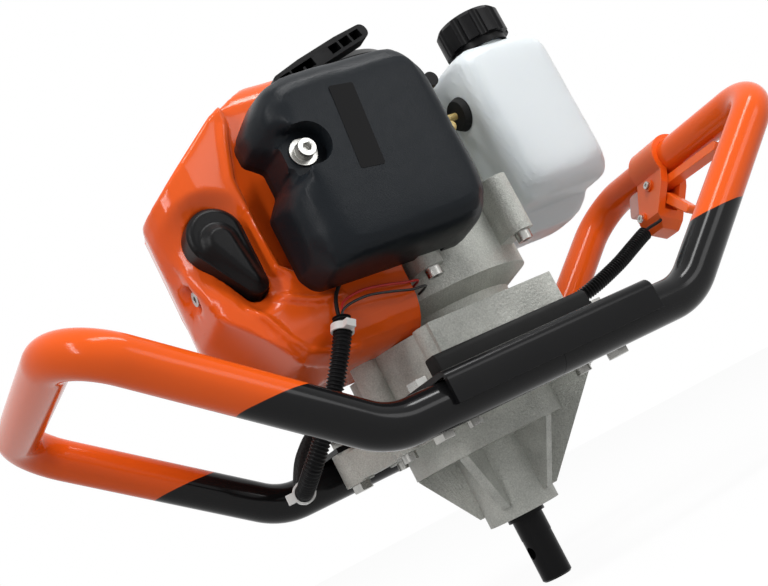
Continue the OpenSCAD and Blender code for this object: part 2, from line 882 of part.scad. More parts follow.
module clutch_rotor() {
  arm = shoe_gap - 0.2;
  color(steel) lift() translate([input.x, input.y, shoe_z]) difference() {
    union() {
      cylinder(r = rotor_r, h = shoe_h + 4);
      translate([-arm / 2, -shoe_out_r + 2, 0]) cube([arm, 2 * shoe_out_r - 4, shoe_h]);
    }
    translate([0, 0, -over]) cylinder(r = crank_stub_r + 0.02, h = shoe_h + 4 + 2 * over);
  }
}

module clutch_shoe(side) {
  lift() translate([input.x, input.y, shoe_z]) difference() {
    ring(shoe_out_r, shoe_in_r, shoe_h);
    translate([side > 0 ? -shoe_out_r - over : -shoe_gap / 2, -shoe_out_r - over, -over])
      cube([shoe_out_r + over + shoe_gap / 2, 2 * shoe_out_r + 2 * over, shoe_h + 2 * over]);
    translate([side * (shoe_in_r + shoe_out_r) / 2, 0, -over]) cylinder(r = 3.5, h = shoe_h + 2 * over);
  }
}

module left_clutch_shoe() {
  color(cast_grey) clutch_shoe(-1);
}

module right_clutch_shoe() {
  color(cast_grey) clutch_shoe(1);
}

// Engine core
module flywheel_fan() {
  hub_r = 20;
  blade_t = 2.5;
  color(cast_grey) lift() translate([input.x, input.y, fan_z]) difference() {
    union() {
      cylinder(r = fan_r, h = fan_disc);
      cylinder(r = hub_r, h = fan_disc + fan_blade_h);
      for (i = [0:fan_blades - 1])
        rotate([0, 0, i * 360 / fan_blades])
          translate([hub_r - 1, -blade_t / 2, fan_disc - 0.5])
            cube([fan_r - hub_r - 1, blade_t, fan_blade_h - 3]);
    }
    translate([0, 0, -over]) cylinder(r = crank_stub_r + 2.02, h = fan_disc + fan_blade_h + 2 * over);
  }
}

module crankshaft() {
  fan_top = fan_z + fan_disc + fan_blade_h;
  cup_r = 18;
  cup_h = 12;
  color(steel) lift() translate([input.x, input.y, 0]) {
    translate([0, 0, shoe_z + 2]) cylinder(r = crank_stub_r, h = fan_z - shoe_z - 2);
    translate([0, 0, fan_z]) cylinder(r = crank_stub_r + 2, h = fan_top - fan_z);
    translate([0, 0, fan_top]) cylinder(r = crank_r, h = crank_top_z + 1 - fan_top);
    translate([0, 0, crank_top_z + 1]) difference() {
      cylinder(r = cup_r, h = cup_h);
      translate([0, 0, 3]) cylinder(r = cup_r - 2.5, h = cup_h);
      for (i = [0:2])
        rotate([0, 0, i * 120]) translate([cup_r - 4, -3, 5]) cube([6, 6, cup_h]);
    }
  }
}

module housing_bolt_spots() {
  for (x = [-1, 1], y = [-1, 1])
    translate([crank_x + x * ear_bolt_x, y * ear_bolt_y, 0]) children();
}

module housing_ears(low, high) {
  housing_bolt_spots() translate([0, 0, low]) cylinder(r = ear_boss_r, h = high - low);
  for (x = [-1, 1], y = [-1, 1])
    translate([crank_x + x * ear_bolt_x - ear_boss_r, y > 0 ? housing_r * 0.6 : -ear_bolt_y, low])
      cube([2 * ear_boss_r, ear_bolt_y - housing_r * 0.6, high - low]);
}

module clutch_housing() {
  neck_r = neck_d / 2;
  bore_r = clutch_r + 3;
  inner_r = housing_r - housing_wall;
  flare = 8;
  color(cast_grey) lift() difference() {
    union() {
      translate([input.x, input.y, 0]) rotate_extrude()
        polygon([[bore_r, deck_z], [neck_r, deck_z], [neck_r, deck_z + flare + 2],
            [housing_r, deck_z + 2 * flare + 2], [housing_r, fan_split_z], [inner_r, fan_split_z],
            [inner_r, fan_z - 3], [bore_r, fan_z - 14]]);
      difference() {
        housing_ears(fan_split_z - ear_drop, fan_split_z);
        translate([input.x, input.y, fan_split_z - ear_drop - over])
          cylinder(r = housing_r - 1, h = ear_drop + 2 * over);
      }
    }
    housing_bolt_spots() translate([0, 0, fan_split_z - ear_drop - over])
      cylinder(r = housing_bolt_r + bolt_play, h = ear_drop + 2 * over);
  }
}

module housing_bolts() {
  head = 6;
  depth = 18;
  color(bright) lift() housing_bolt_spots() {
    translate([0, 0, fan_split_z - ear_drop]) mirror([0, 0, 1]) socket_head(5, head, 2.5);
    translate([0, 0, fan_split_z - ear_drop - over]) cylinder(r = housing_bolt_r, h = ear_drop + depth);
  }
}

module crankcase() {
  inner_r = housing_r - housing_wall;
  plate = 5;
  flange_r = starter_r;
  half = block_w / 2;
  block = box_points([crank_x - half, -block_depth / 2], [crank_x + half, block_depth / 2]);
  color(cast_grey) lift() difference() {
    union() {
      translate([input.x, input.y, fan_split_z]) ring(housing_r, inner_r, fan_h);
      translate([input.x, input.y, crank_deck_z - plate]) cylinder(r = housing_r, h = plate);
      difference() {
        housing_ears(fan_split_z, crank_deck_z);
        translate([input.x, input.y, fan_split_z - over]) cylinder(r = housing_r - 1, h = fan_h + 2 * over);
      }
      slab_z(rounded(block, [10, 10, 10, 10]), crank_deck_z - 1, crank_top_z);
      translate([input.x, input.y, crank_top_z - 7]) cylinder(r = flange_r, h = 7);
      starter_ear_spots() translate([0, 0, crank_top_z - 7]) cylinder(r = starter_ear_r, h = 7);
      translate([crank_x + half - 1, -22, crank_deck_z + 14])
        cube([tank_left - seat - crank_x - half + 1, 42, pad_h]);
      translate([carb_x - carb_w / 2, intake_y, cyl_z - 18]) cube([carb_w, 12, 36]);
    }
    translate([input.x, input.y, crank_deck_z - plate - over])
      cylinder(r = crank_r + run_fit, h = crankcase_h + plate + 2 * over);
    housing_bolt_spots() translate([0, 0, fan_split_z - over])
      cylinder(r = housing_bolt_r + bolt_play, h = 20);
    for (z = [0.35, 0.65])
      translate([crank_x + half - 1, -20, crank_deck_z + 14 + pad_h * z - 3])
        cube([tank_left, 32, 6]);
    translate([cyl_x - 0.05, 0, cyl_z]) rotate([0, -90, 0]) cylinder(r = fin_r + 2, h = 60);
    starter_ear_spots() translate([0, 0, crank_top_z - 12]) cylinder(r = 2.2, h = 13);
  }
}

// Barrel with a comb of cooling fins, turned about its own axis and laid along -x
module cylinder_body() {
  pitch = (cyl_len - 14) / fin_count;
  profile = [
    [0, 0], [barrel_r + 6, 0], [barrel_r + 6, 6],
    each [for (i = [0:fin_count - 1])
      let (z = 10 + i * pitch, r = i < fin_count - 3 ? fin_r : fin_r - 3 * (i - fin_count + 4))
      each [[barrel_r, z], [r, z], [r, z + fin_t], [barrel_r, z + fin_t]]],
    [barrel_r, cyl_len - 12], [barrel_r - 12, cyl_len], [0, cyl_len]
  ];
  rotate([0, -90, 0]) rotate_extrude() polygon(profile);
}

module engine_cylinder() {
  color(cast_grey) lift() difference() {
    union() {
      translate([cyl_x - 0.1, 0, cyl_z]) cylinder_body();
      translate([-96, 20, cyl_z - 17]) cube([36, 24, 34]);
      translate([boot.x - 8, plug_seat_y, boot.y - 10]) cube([18, -plug_seat_y - 8, 20]);
    }
    translate([boot.x, plug_seat_y - over, boot.y]) rotate([-90, 0, 0]) cylinder(r = 5.2, h = 15);
  }
}

module spark_plug() {
  color(white) lift() translate([boot.x, plug_seat_y, boot.y]) rotate([90, 0, 0]) {
    translate([0, 0, -12]) cylinder(r = 5, h = 13);
    hex_head(9, 8);
    translate([0, 0, 7]) cylinder(r = 6, h = 12);
    translate([0, 0, 18]) cylinder(r = 2.5, h = 6);
  }
}

// Pear outline of two circles and the straight sides that touch both
module pear(big, big_r, small, small_r) {
  d = small - big;
  lean = asin((big_r - small_r) / norm(d));
  heading = atan2(d.y, d.x);
  translate(big) circle(r = big_r);
  translate(small) circle(r = small_r);
  polygon([for (s = [-1, 1], end = s < 0 ? [0, 1] : [1, 0])
    let (a = heading + s * (90 - lean), c = end == 0 ? big : small, r = end == 0 ? big_r : small_r)
    c + r * [cos(a), sin(a)]]);
}

module pear_slab(grow, low, high) {
  translate([0, high, 0]) rotate([90, 0, 0])
    linear_extrude(high - low) pear(boot, boot_r + grow, boot_tail, boot_tail_r + grow);
}

module spark_plug_boot() {
  face = -cover_y - boot_proud;
  inner = plug_seat_y - 8.2;
  color(black) lift() difference() {
    union() {
      pear_slab(0, face + 3, -cover_y + 4);
      pear_slab(-2, face + 1, face + 3);
      pear_slab(-5, face, face + 1);
      translate([boot.x, inner, boot.y]) rotate([90, 0, 0]) cylinder(r = 11, h = cover_y + inner);
    }
    translate([boot.x, inner + over, boot.y]) rotate([90, 0, 0]) cylinder(r = 6.2, h = 13);
    translate([boot.x, inner + over, boot.y]) rotate([90, 0, 0]) cylinder(r = 2.7, h = 19);
  }
}

// Engine cover: three rounded profiles cut one shape, and the same shape moved inwards is its hollow
function cover_side(right) = [
  [right, cover_z], [right, cover_top], [-62, cover_top], [-104, cover_top - 22],
  [-cover_reach, cover_z + 122], [-cover_reach, cover_z + 98], [10 - cover_reach, cover_z + 48],
  [42 - cover_reach, cover_z + 8], [66 - cover_reach, cover_z]
];

module cover_form(wall, right) {
  side = inset(cover_side(right), wall);
  plan = inset([[-cover_reach, -cover_y], [right, -cover_y], [right, cover_y],
                [cover_slant - cover_reach, cover_y], [-cover_reach, cover_fold]], wall);
  face = inset(box_points([-cover_y, cover_z], [cover_y, cover_top]), wall);
  intersection() {
    slab_y(rounded(side, [0.5, 0.5, 20, 20, 8, 20, 20, 20, 12]), -cover_y, cover_y);
    slab_z(rounded(plan, [28 - wall, 0.5, 0.5, 28 - wall, 20]), cover_z, cover_top);
    slab_x(rounded(face, [26 - wall, 26 - wall, 22 - wall, 22 - wall]), -cover_reach, right + over);
  }
}

module cover_screw_spots() {
  for (s = [-1, 1])
    translate([12 - cover_reach + (s > 0 ? 24 : 0), s * 40, cover_z + 70]) rotate([0, -90, 0]) children();
}

module engine_cover() {
  vents = 6;
  vent_pitch = 9;
  color(orange) lift() difference() {
    union() {
      difference() {
        cover_form(0, cover_right);
        cover_form(cover_wall, cover_right + 20);
      }
      intersection() {
        cover_form(0.5, cover_right);
        cover_screw_spots() translate([0, 0, -8]) cylinder(r = 10, h = 30);
      }
    }
    cover_screw_spots() cylinder(r = 7.5, h = 40);
    cover_screw_spots() translate([0, 0, -20]) cylinder(r = 2.2, h = 30);
    pear_slab(boot_play, -cover_y - over, -cover_y + 12);
    translate([input.x, input.y, cover_z - over])
      cylinder(r = housing_r + 1, h = crank_deck_z - cover_z + 2 * over);
    translate([input.x, input.y, crank_top_z - 9]) cylinder(r = starter_r + 8, h = cover_h);
    for (i = [0:vents - 1])
      translate([-118 + i * vent_pitch, cover_y - 8, cover_z + 112]) cube([4, 16, 34]);
    translate([-78, cover_y - 8, cover_z + 92]) rotate([-90, 0, 0]) cylinder(r = 11, h = 16);
  }
}

module cover_screws() {
  color(bright) lift() cover_screw_spots() {
    socket_head(4.5, 3.5, 2);
    translate([0, 0, -10]) cylinder(r = 2, h = 10.5);
  }
}

module muffler() {
  low = 44 + seat;
  high = cover_y - cover_wall - 1;
  outline = box_points([-110, cyl_z - 30], [-46, cyl_z + 28]);
  color(steel) lift() difference() {
    union() {
      slab_y(rounded(outline, [10, 10, 10, 10]), low, high);
      translate([-78, high - over, cover_z + 92]) rotate([-90, 0, 0]) cylinder(r = 8, h = 8);
    }
    translate([-78, high - 6, cover_z + 92]) rotate([-90, 0, 0]) cylinder(r = 6, h = 20);
  }
}

// Intake
module intake_block() {
  color(black) lift() difference() {
    translate([carb_x - carb_w / 2, carb_y, cyl_z - 18]) cube([carb_w, block_t, 36]);
    translate([carb_x, carb_y - over, cyl_z]) rotate([-90, 0, 0]) cylinder(r = 7, h = block_t + 2 * over);
  }
}

carb_mid_y = carb_y - carb_len / 2;
carb_top = cyl_z + 16;
carb_low = cyl_z - 24;
arm_z = carb_top + 3;
bulb_r = 8;
bulb_travel = 5;

module carburettor() {
  bracket = [-14, carb_mid_y - 3];
  color(cast_grey) lift() difference() {
    union() {
      translate([carb_x - 13, base_y + 3, cyl_z - 16]) cube([26, carb_len - 6, 32]);
      for (y = [base_y, carb_y - 4])
        translate([carb_x - carb_w / 2, y, cyl_z - 14]) cube([carb_w, 4, 28]);
      translate([carb_x - 12, carb_mid_y - 9, carb_low]) cube([24, 18, 9]);
      translate([carb_x, carb_mid_y, carb_top - over]) cylinder(r = 5, h = 4);
      translate([bracket.x, bracket.y, carb_top - 6]) cube([3, 16, 18]);
      translate([carb_x + 12, carb_mid_y, cyl_z - 5]) rotate([0, 90, 0]) cylinder(r = 3.4, h = 4);
    }
    translate([carb_x, base_y - over, cyl_z]) rotate([-90, 0, 0]) cylinder(r = 7, h = carb_len + 2 * over);
    translate([carb_x, carb_mid_y, carb_top - 4]) cylinder(r = 2 + run_fit, h = 9);
    translate([carb_x, carb_mid_y, carb_low - over]) cylinder(r = bulb_r + 0.3, h = bulb_travel + 2);
  }
}

module throttle_arm() {
  reach = 12;
  color(steel) lift() translate([carb_x, carb_mid_y, arm_z + seat]) {
    cylinder(r = 5.5, h = 2.5);
    translate([0, 0, -6]) cylinder(r = 2, h = 7);
    rotate([0, 0, 57]) {
      translate([0, -2.4, 0.2]) cube([reach, 4.8, 2.1]);
      translate([reach, 0, 0]) cylinder(r = 3, h = 4);
    }
  }
}

choke_at = [24, 186];

module choke_lever() {
  reach = 20;
  color(black) lift() translate([choke_at.x, base_y + seat, choke_at.y]) rotate([-90, 0, 0]) {
    cylinder(r = 5.5, h = 3);
    translate([0, 0, -base_t + 1]) cylinder(r = 2.5, h = base_t);
    rotate([0, 0, -20]) {
      translate([0, -3.5, 0]) cube([reach, 7, 3]);
      translate([reach, 0, 0]) cylinder(r = 5, h = 8);
    }
  }
}

module primer_bulb() {
  color(white) lift() translate([carb_x, carb_mid_y, carb_low]) difference() {
    union() {
      translate([0, 0, -4]) cylinder(r = bulb_r, h = 5);
      translate([0, 0, -4]) intersection() {
        sphere(r = bulb_r);
        translate([0, 0, -bulb_r]) cylinder(r = bulb_r, h = bulb_r + 0.5);
      }
    }
    translate([0, 0, -4]) sphere(r = bulb_r - 1.2);
    translate([0, 0, -4]) cylinder(r = bulb_r - 1.2, h = 6);
  }
}

function filter_points() = [
  [filter_left + 6, filter_low + 4], [filter_right - 10, filter_low], [filter_right, filter_low + 14],
  [filter_right, filter_top - 11], [filter_right - 12, filter_top], [filter_left + 20, filter_top],
  [filter_left, filter_top - 17], [filter_left, filter_bolt.y + 14], [filter_left + 10, filter_bolt.y + 6],
  [filter_left + 10, filter_bolt.y - 10], [filter_left, filter_bolt.y - 22], [filter_left, filter_low + 14]
];

filter_radii = [10, 12, 10, 10, 14, 16, 8, 5, 5, 5, 6, 8];

module filter_form(wall, back) {
  plan = inset(box_points([filter_left, filter_front], [filter_right, back + 20]), wall);
  face = inset(box_points([filter_front, filter_low], [back + 20, filter_top]), wall);
  intersection() {
    slab_y(rounded(inset(filter_points(), wall), filter_radii * 0.9), filter_front, back);
    slab_z(rounded(plan, [18, 12, 0.5, 0.5]), filter_low, filter_top);
    slab_x(rounded(face, [16, 0.5, 0.5, 14]), filter_left, filter_right);
  }
}

// Hollow round the cover bolt, open to the left edge of the cover
module filter_recess(grow) {
  floor_y = filter_front + recess_depth + grow;
  translate([filter_bolt.x, floor_y, filter_bolt.y]) rotate([90, 0, 0])
    cylinder(r = recess_r + grow, h = recess_depth + 20);
  translate([filter_left - 10, floor_y - recess_depth - 20, filter_bolt.y - recess_r - grow])
    cube([filter_bolt.x - filter_left + 10, recess_depth + 20, 2 * (recess_r + grow)]);
}

module air_filter_cover() {
  color(black) lift() difference() {
    filter_form(0, filter_back);
    filter_recess(0);
    difference() {
      filter_form(filter_wall, filter_back + over);
      filter_recess(filter_wall);
    }
    translate([filter_bolt.x, filter_front, filter_bolt.y]) rotate([-90, 0, 0])
      cylinder(r = filter_bolt_r + bolt_play, h = 40);
  }
}

module air_filter_base() {
  low = filter_back + 0.02;
  high = base_y - 0.02;
  color(black) lift() difference() {
    union() {
      slab_y(rounded(filter_points(), filter_radii), low, high);
      translate([choke_at.x - 12, low, choke_at.y - 8]) cube([20, base_t - 0.04, 16]);
      translate([filter_bolt.x, high - over, filter_bolt.y]) rotate([-90, 0, 0])
        cylinder(r = 3 + filter_bolt_r, h = 4);
    }
    translate([carb_x, low - over, cyl_z]) rotate([-90, 0, 0]) cylinder(r = 8, h = base_t + 2 * over);
    translate([crank_x - ear_bolt_x - ear_boss_r - 1.5, low - over, filter_low - over])
      cube([2 * ear_boss_r + 3, base_t + 2 * over, crank_deck_z - filter_low + 3]);
    translate([filter_bolt.x, low - over, filter_bolt.y]) rotate([-90, 0, 0])
      cylinder(r = filter_bolt_r + 0.1, h = base_t + 6);
    translate([choke_at.x, low - over, choke_at.y]) rotate([-90, 0, 0])
      cylinder(r = 2.5 + run_fit, h = base_t + 2 * over);
  }
}

module filter_element() {
  gap = 6;
  color("#7a7c70") lift() difference() {
    slab_y(rounded(inset(filter_points(), gap), filter_radii * 0.5), filter_back - 18, filter_back - 0.05);
    translate([filter_bolt.x, filter_back - 30, filter_bolt.y]) rotate([-90, 0, 0])
      cylinder(r = filter_bolt_r + 1, h = 40);
  }
}

module filter_cover_bolt() {
  seat_y = filter_front + recess_depth;
  color(bright) lift() translate([filter_bolt.x, seat_y - 0.02, filter_bolt.y]) rotate([90, 0, 0]) {
    cylinder(r = 8.5, h = 1.5);
    translate([0, 0, 1.4]) socket_head(5.5, 6.5, 2.6);
    translate([0, 0, seat_y - base_y - 2]) cylinder(r = filter_bolt_r, h = base_y - seat_y + 2.5);
  }
}

// Starter
module starter_ear_spots() {
  for (a = [45:90:315])
    translate([input.x, input.y, 0]) rotate([0, 0, a]) translate([starter_r + 5, 0, 0]) children();
}

module recoil_housing() {
  slots = 10;
  bevel = 6;
  wall_r = starter_r - starter_wall;
  roof = starter_h - starter_wall;
  post = pulley_z - 1 - crank_top_z;
  lip = 0.3;
  shell = [[wall_r, lip], [starter_r, lip], [starter_r, starter_h - bevel], [starter_r - bevel, starter_h],
           [0, starter_h], [0, post], [post_r, post], [post_r, roof], [wall_r - bevel, roof],
           [wall_r, roof - bevel]];
  color(black) lift() difference() {
    union() {
      translate([input.x, input.y, crank_top_z]) rotate_extrude() polygon(shell);
      difference() {
        union() {
          starter_ear_spots() translate([0, 0, crank_top_z]) cylinder(r = starter_ear_r, h = starter_ear_h);
          translate([rope_x, -starter_r * 0.6, rope_z])
            rotate([90, 0, 0]) cylinder(r = guide_r, h = -guide_y - starter_r * 0.6);
        }
        translate([input.x, input.y, crank_top_z - over]) cylinder(r = wall_r + 0.5, h = starter_h);
      }
    }
    translate([rope_x, -starter_r * 0.3, rope_z]) rotate([90, 0, 0])
      cylinder(r = rope_r + 0.5, h = starter_d);
    starter_ear_spots() translate([0, 0, crank_top_z - over])
      cylinder(r = 2.2, h = starter_ear_h + 2 * over);
    for (i = [0:slots - 1])
      translate([input.x, input.y, starter_top - starter_wall - 2])
        rotate([0, 0, 18 + i * 360 / slots]) translate([16, -2.5, 0]) cube([22, 5, 10]);
  }
}

module recoil_screws() {
  color(bright) lift() starter_ear_spots() {
    translate([0, 0, crank_top_z + starter_ear_h]) socket_head(4, 3.5, 1.8);
    translate([0, 0, crank_top_z - 10]) cylinder(r = 2, h = starter_ear_h + 10.5);
  }
}

module recoil_pulley() {
  groove_h = rope_d + 2;
  low = (pulley_t - groove_h) / 2;
  color(white) lift() translate([input.x, input.y, pulley_z]) difference() {
    cylinder(r = pulley_r, h = pulley_t);
    translate([0, 0, low]) ring(pulley_r + over, groove_r, groove_h);
    translate([0, 0, -over]) cylinder(r = post_r + run_fit, h = pulley_t + 2 * over);
    translate([0, 0, -over]) ring(groove_r - 5, post_r + 4, pulley_t - 3 + over);
  }
}

module starter_rope() {
  color(white) lift() translate([rope_x, -1, rope_z]) rotate([90, 0, 0])
    cylinder(r = rope_r, h = -pull_y - 1);
}

module starter_grip() {
  half = pull_len / 2;
  low = -pull_h * 0.35;
  outline = [[-half, low], [half, low], [half, 5], [half * 0.4, pull_h * 0.5], [-half * 0.4,
    pull_h * 0.5], [-half, 5]];
  pockets = 3;
  color(black) lift() translate([rope_x, pull_y, rope_z]) rotate([0, -pull_tilt, 0]) {
    rotate([90, 0, 0]) cylinder(r1 = 3.4, r2 = 4.1, h = stem_len + over);
    difference() {
      slab_y(rounded(outline, [4.4, 4.4, 4.4, 10, 10, 4.4]), -stem_len - pull_t, -stem_len);
      for (s = [-1, 1], i = [0:pockets - 1])
        translate([s * (half * 0.28 + i * half * 0.24) - 3.8, -stem_len - pull_t - over, low + 2.2])
          cube([7.6, pull_t - 3 + over, 5.4]);
    }
  }
}

// Fuel tank
function tank_side() = [
  [tank_front, tank_low], [tank_front + 40, tank_low], [tank_front + 50, tank_low - tank_foot],
  [tank_front + tank_depth, tank_low - tank_foot], [tank_front + tank_depth, tank_top], [tank_front,
    tank_top]
];

module tank_form(wall) {
  right = tank_left + tank_w;
  plan = inset(box_points([tank_left, tank_front], [right, tank_front + tank_depth]), wall);
  face = inset(box_points([tank_left, tank_low - tank_foot], [right, tank_top]), wall);
  low_r = 14 - wall;
  intersection() {
    slab_z(rounded(plan, (tank_r - wall) * [1, 1, 1, 1]), tank_low - tank_foot, tank_top);
    slab_x(rounded(inset(tank_side(), wall), [16 - wall, 6, 6, low_r, low_r, low_r]), tank_left, right);
    slab_y(rounded(face, low_r * [1, 1, 1, 1]), tank_front, tank_front + tank_depth);
  }
}

module fuel_tank() {
  neck_r = neck_bore_d / 2;
  color(white) lift() difference() {
    union() {
      tank_form(0);
      translate([neck_at.x, neck_at.y, tank_top - 3]) cylinder(r = neck_r, h = neck_h + 3);
    }
    tank_form(tank_wall);
    translate([neck_at.x, neck_at.y, tank_top - 10]) cylinder(r = neck_r - neck_wall, h = neck_h + 20);
    translate([tank_left - over, grommet_at.x, grommet_at.y]) rotate([0, 90, 0]) cylinder(r = 7, h = 8);
  }
}

module fuel_cap() {
  cap_r = cap_d / 2;
  flute_r = cap_r * 0.16;
  top = cap_gap + cap_h;
  color(black) lift() translate([neck_at.x, neck_at.y, tank_top + seat]) difference() {
    union() {
      cylinder(r = cap_r - 3.5, h = cap_h - 5);
      translate([0, 0, 5]) cylinder(r = cap_r, h = cap_h - 8);
      translate([0, 0, cap_h - 3]) cylinder(r1 = cap_r, r2 = cap_r - 2.5, h = 3);
    }
    translate([0, 0, -over]) cylinder(r = neck_bore_d / 2 + 0.3, h = neck_h + over + seat);
    translate([0, 0, cap_h - 4]) ring(cap_r - 6, cap_r - 9, 6);
    for (i = [0:cap_flutes - 1])
      rotate([0, 0, i * 360 / cap_flutes]) translate([cap_r + flute_r * 0.35, 0, -over])
        cylinder(r = flute_r, h = top);
  }
}

module tank_grommet() {
  color(rubber) lift() translate([tank_left - grommet_t, grommet_at.x, grommet_at.y]) rotate([0, 90, 0])
    difference() {
    union() {
      cylinder(r1 = grommet_r - 2, r2 = grommet_r, h = grommet_t - 0.02);
      cylinder(r = 6.9, h = grommet_t + tank_wall + 4);
    }
    translate([0, 0, 2]) cylinder(r = 4, h = 20);
  }
}

module fuel_line() {
  start = [tank_left - grommet_t - 0.02, grommet_at.x, grommet_at.y];
  finish = [carb_x + 16.02, carb_mid_y, cyl_z - 5];
  points = [start, [start.x - 14, start.y, start.z], [start.x - 16, carb_mid_y + 8, finish.z + 14],
       [finish.x + 14, carb_mid_y, finish.z], finish];
  color("#3a3320") lift() bent_bar(points, [8, 10, 8], 2.6);
}

// Throttle unit on the right grip
module on_grip() {
  lift() translate([grip_x, 0, grip_z]) rotate([0, unit_tilt, 0]) children();
}

module throttle_housing() {
  low = -unit_reach;
  outline = [[unit_front, -24], [unit_front + 8, low + 6], [unit_front + 14, low], [unit_back, low],
       [unit_back, -tube_r + 1], [unit_front, -tube_r + 1]];
  slot = lever_t / 2 + lever_play;
  button_half = button_w / 2 + button_play;
  color(orange) on_grip() difference() {
    union() {
      difference() {
        union() {
          translate([0, unit_back, 0]) rotate([90, 0, 0]) cylinder(r = unit_ring_r, h = unit_len);
          slab_x(rounded(outline, [2, 3, 3, 3, 0.5, 0.5]), -unit_half, unit_half);
        }
        translate([-slot, unit_front - over, -30]) cube([2 * slot, lock_pivot.x + 8 - unit_front, 30]);
        translate([-slot, unit_front - over, trigger_pivot.y - 9])
          cube([2 * slot, trigger_pivot.x + 7 - unit_front, 20]);
      }
      translate([-unit_half + 2, lock_pivot.x, lock_pivot.y]) rotate([0, 90, 0])
        cylinder(r = pin_r, h = unit_t - 4);
      translate([-unit_half + 2, trigger_pivot.x, trigger_pivot.y]) rotate([0, 90, 0])
        cylinder(r = pin_r, h = unit_t - 4);
      for (p = unit_screw_spots)
        translate([-unit_half - 1.5, p.x, p.y]) rotate([0, 90, 0]) cylinder(r = 4.5, h = 6);
    }
    translate([0, unit_back + over, 0]) rotate([90, 0, 0])
      cylinder(r = tube_r + clamp_play, h = unit_len + 2 * over);
    translate([-button_half, unit_back - button_depth, button_z - button_h / 2 - button_play])
      cube([2 * button_half, button_depth + over, button_h + 2 * button_play]);
    translate([-unit_half, unit_front - over, low]) rotate([0, 45, 0])
      translate([-20, 0, -unit_chamfer / sqrt(2) - 20 + unit_chamfer * sqrt(2)])
        cube([40, unit_len + 2 * over, 20]);
    for (p = unit_screw_spots)
      translate([-unit_half - 3, p.x, p.y]) rotate([0, 90, 0]) cylinder(r = 1.6, h = 12);
  }
}

module unit_screws() {
  color(bright) on_grip() for (p = unit_screw_spots)
    translate([-unit_half - 1.5, p.x, p.y]) rotate([0, -90, 0]) {
      socket_head(3, 1.8, 1.4);
      translate([0, 0, -7]) cylinder(r = 1.4, h = 7.5);
    }
}

module lever(pivot, points, radii) {
  difference() {
    union() {
      translate([-lever_t / 2, pivot.x, pivot.y]) rotate([0, 90, 0]) cylinder(r = lever_hub_r, h = lever_t);
      slab_x(rounded(points, radii), -lever_t / 2, lever_t / 2);
    }
    translate([-lever_t, pivot.x, pivot.y]) rotate([0, 90, 0])
      cylinder(r = pin_r + run_fit, h = 2 * lever_t);
  }
}

module lockout_lever() {
  root = lock_pivot;
  tip = [root.x - lock_len, -tube_r - lock_drop];
  color(orange) on_grip()
    lever(root, [[tip.x, tip.y - lock_h], [root.x - 8, root.y - lever_hub_r], [root.x,
      root.y - lever_hub_r],
          [root.x, root.y + 2], [root.x - 12, root.y + 3], tip], [3, 6, 0.5, 0.5, 6, 2.5]);
}

module throttle_trigger() {
  root = trigger_pivot;
  d = [-cos(trigger_slope), -sin(trigger_slope)];
  n = [-d.y, d.x] * trigger_h / 2;
  tip = root + d * trigger_len;
  color(orange) on_grip()
    lever(root, [root - n, root + n, tip + n * 0.8, tip - n * 0.8], [0.5, 0.5, 3, 3]);
}

module stop_button() {
  half = button_w / 2;
  color("#d9a090") on_grip() difference() {
    slab_x(rounded(box_points([unit_back - button_depth + button_travel + 0.4, button_z - button_h / 2],
                 [unit_back + button_out, button_z + button_h / 2]), [0.5, 4, 4, 0.5]), -half, half);
    translate([-half + 1.5, unit_back - button_depth, button_z - button_h / 2 + 1.5])
      cube([button_w - 3, button_out + button_depth - 2, button_h - 3]);
  }
}

// Cords: one smooth line through the route points, then rings of points set square to it
function smooth(p, start, finish) =
  let (n = len(p))
  [for (i = [0:n - 1])
    i == 0 ? start * norm(p[1] - p[0]) :
    i == n - 1 ? finish * norm(p[n - 1] - p[n - 2]) : (p[i + 1] - p[i - 1]) / 2];

function along(p, v, s) =
  let (i = min(floor(s), len(p) - 2), t = s - i, t2 = t * t, t3 = t2 * t)
  p[i] * (2 * t3 - 3 * t2 + 1) + v[i] * (t3 - 2 * t2 + t) + p[i + 1] * (3 * t2 - 2 * t3) + v[i
    + 1] * (t3 - t2);

function sampled(p, v, count) = [for (i = [0:count]) along(p, v, i * (len(p) - 1) / count)];

function heading(p, i) = unit(p[min(i + 1, len(p) - 1)] - p[max(i - 1, 0)]);

function square_to(n, t) = unit(n - t * (n * t));

// One side direction for each point, carried along the line without twist
function sides(p, first) =
  [for (i = 0, n = square_to(first, heading(p, 0)); i < len(p); i = i + 1, n = i < len(p) ? square_to(n,
    heading(p, i)) : n) n];

function hoop(p, n, i, r, count) =
  let (t = heading(p, i), b = cross(t, n[i]))
  [for (k = [0:count - 1]) p[i] + r * (cos(k * 360 / count) * n[i] + sin(k * 360 / count) * b)];

function band(low, high, count) = [for (k = [0:count - 1])
  let (m = (k + 1) % count)
  each [[low + k, high + m, low + m], [low + k, high + k, high + m]]];

function flipped(faces) = [for (f = faces) [f[2], f[1], f[0]]];

conduit_slopes = smooth(conduit_route, conduit_start, conduit_finish);
up = [0, 0, 1];

// Ribbed tube with its bore, one closed surface
module ribbed_tube(p, v, ribs, outer, groove, bore, count) {
  rings = 2 * ribs;
  wall = sampled(p, v, rings);
  wall_side = sides(wall, up);
  core = sampled(p, v, cord_rings);
  core_side = sides(core, up);
  first = (rings + 1) * count;
  points = concat(
    [for (i = [0:rings]) each hoop(wall, wall_side, i, floor((i + 1) / 2) % 2 == 0 ? outer : groove,
      count)],
    [for (i = [0:cord_rings]) each hoop(core, core_side, i, bore, count)]);
  faces = concat(
    [for (i = [0:rings - 1]) each band(i * count, (i + 1) * count, count)],
    [for (i = [0:cord_rings - 1]) each flipped(band(first + i * count, first + (i + 1) * count, count))],
    flipped(band(0, first, count)),
    band(rings * count, first + cord_rings * count, count));
  polyhedron(points, faces);
}

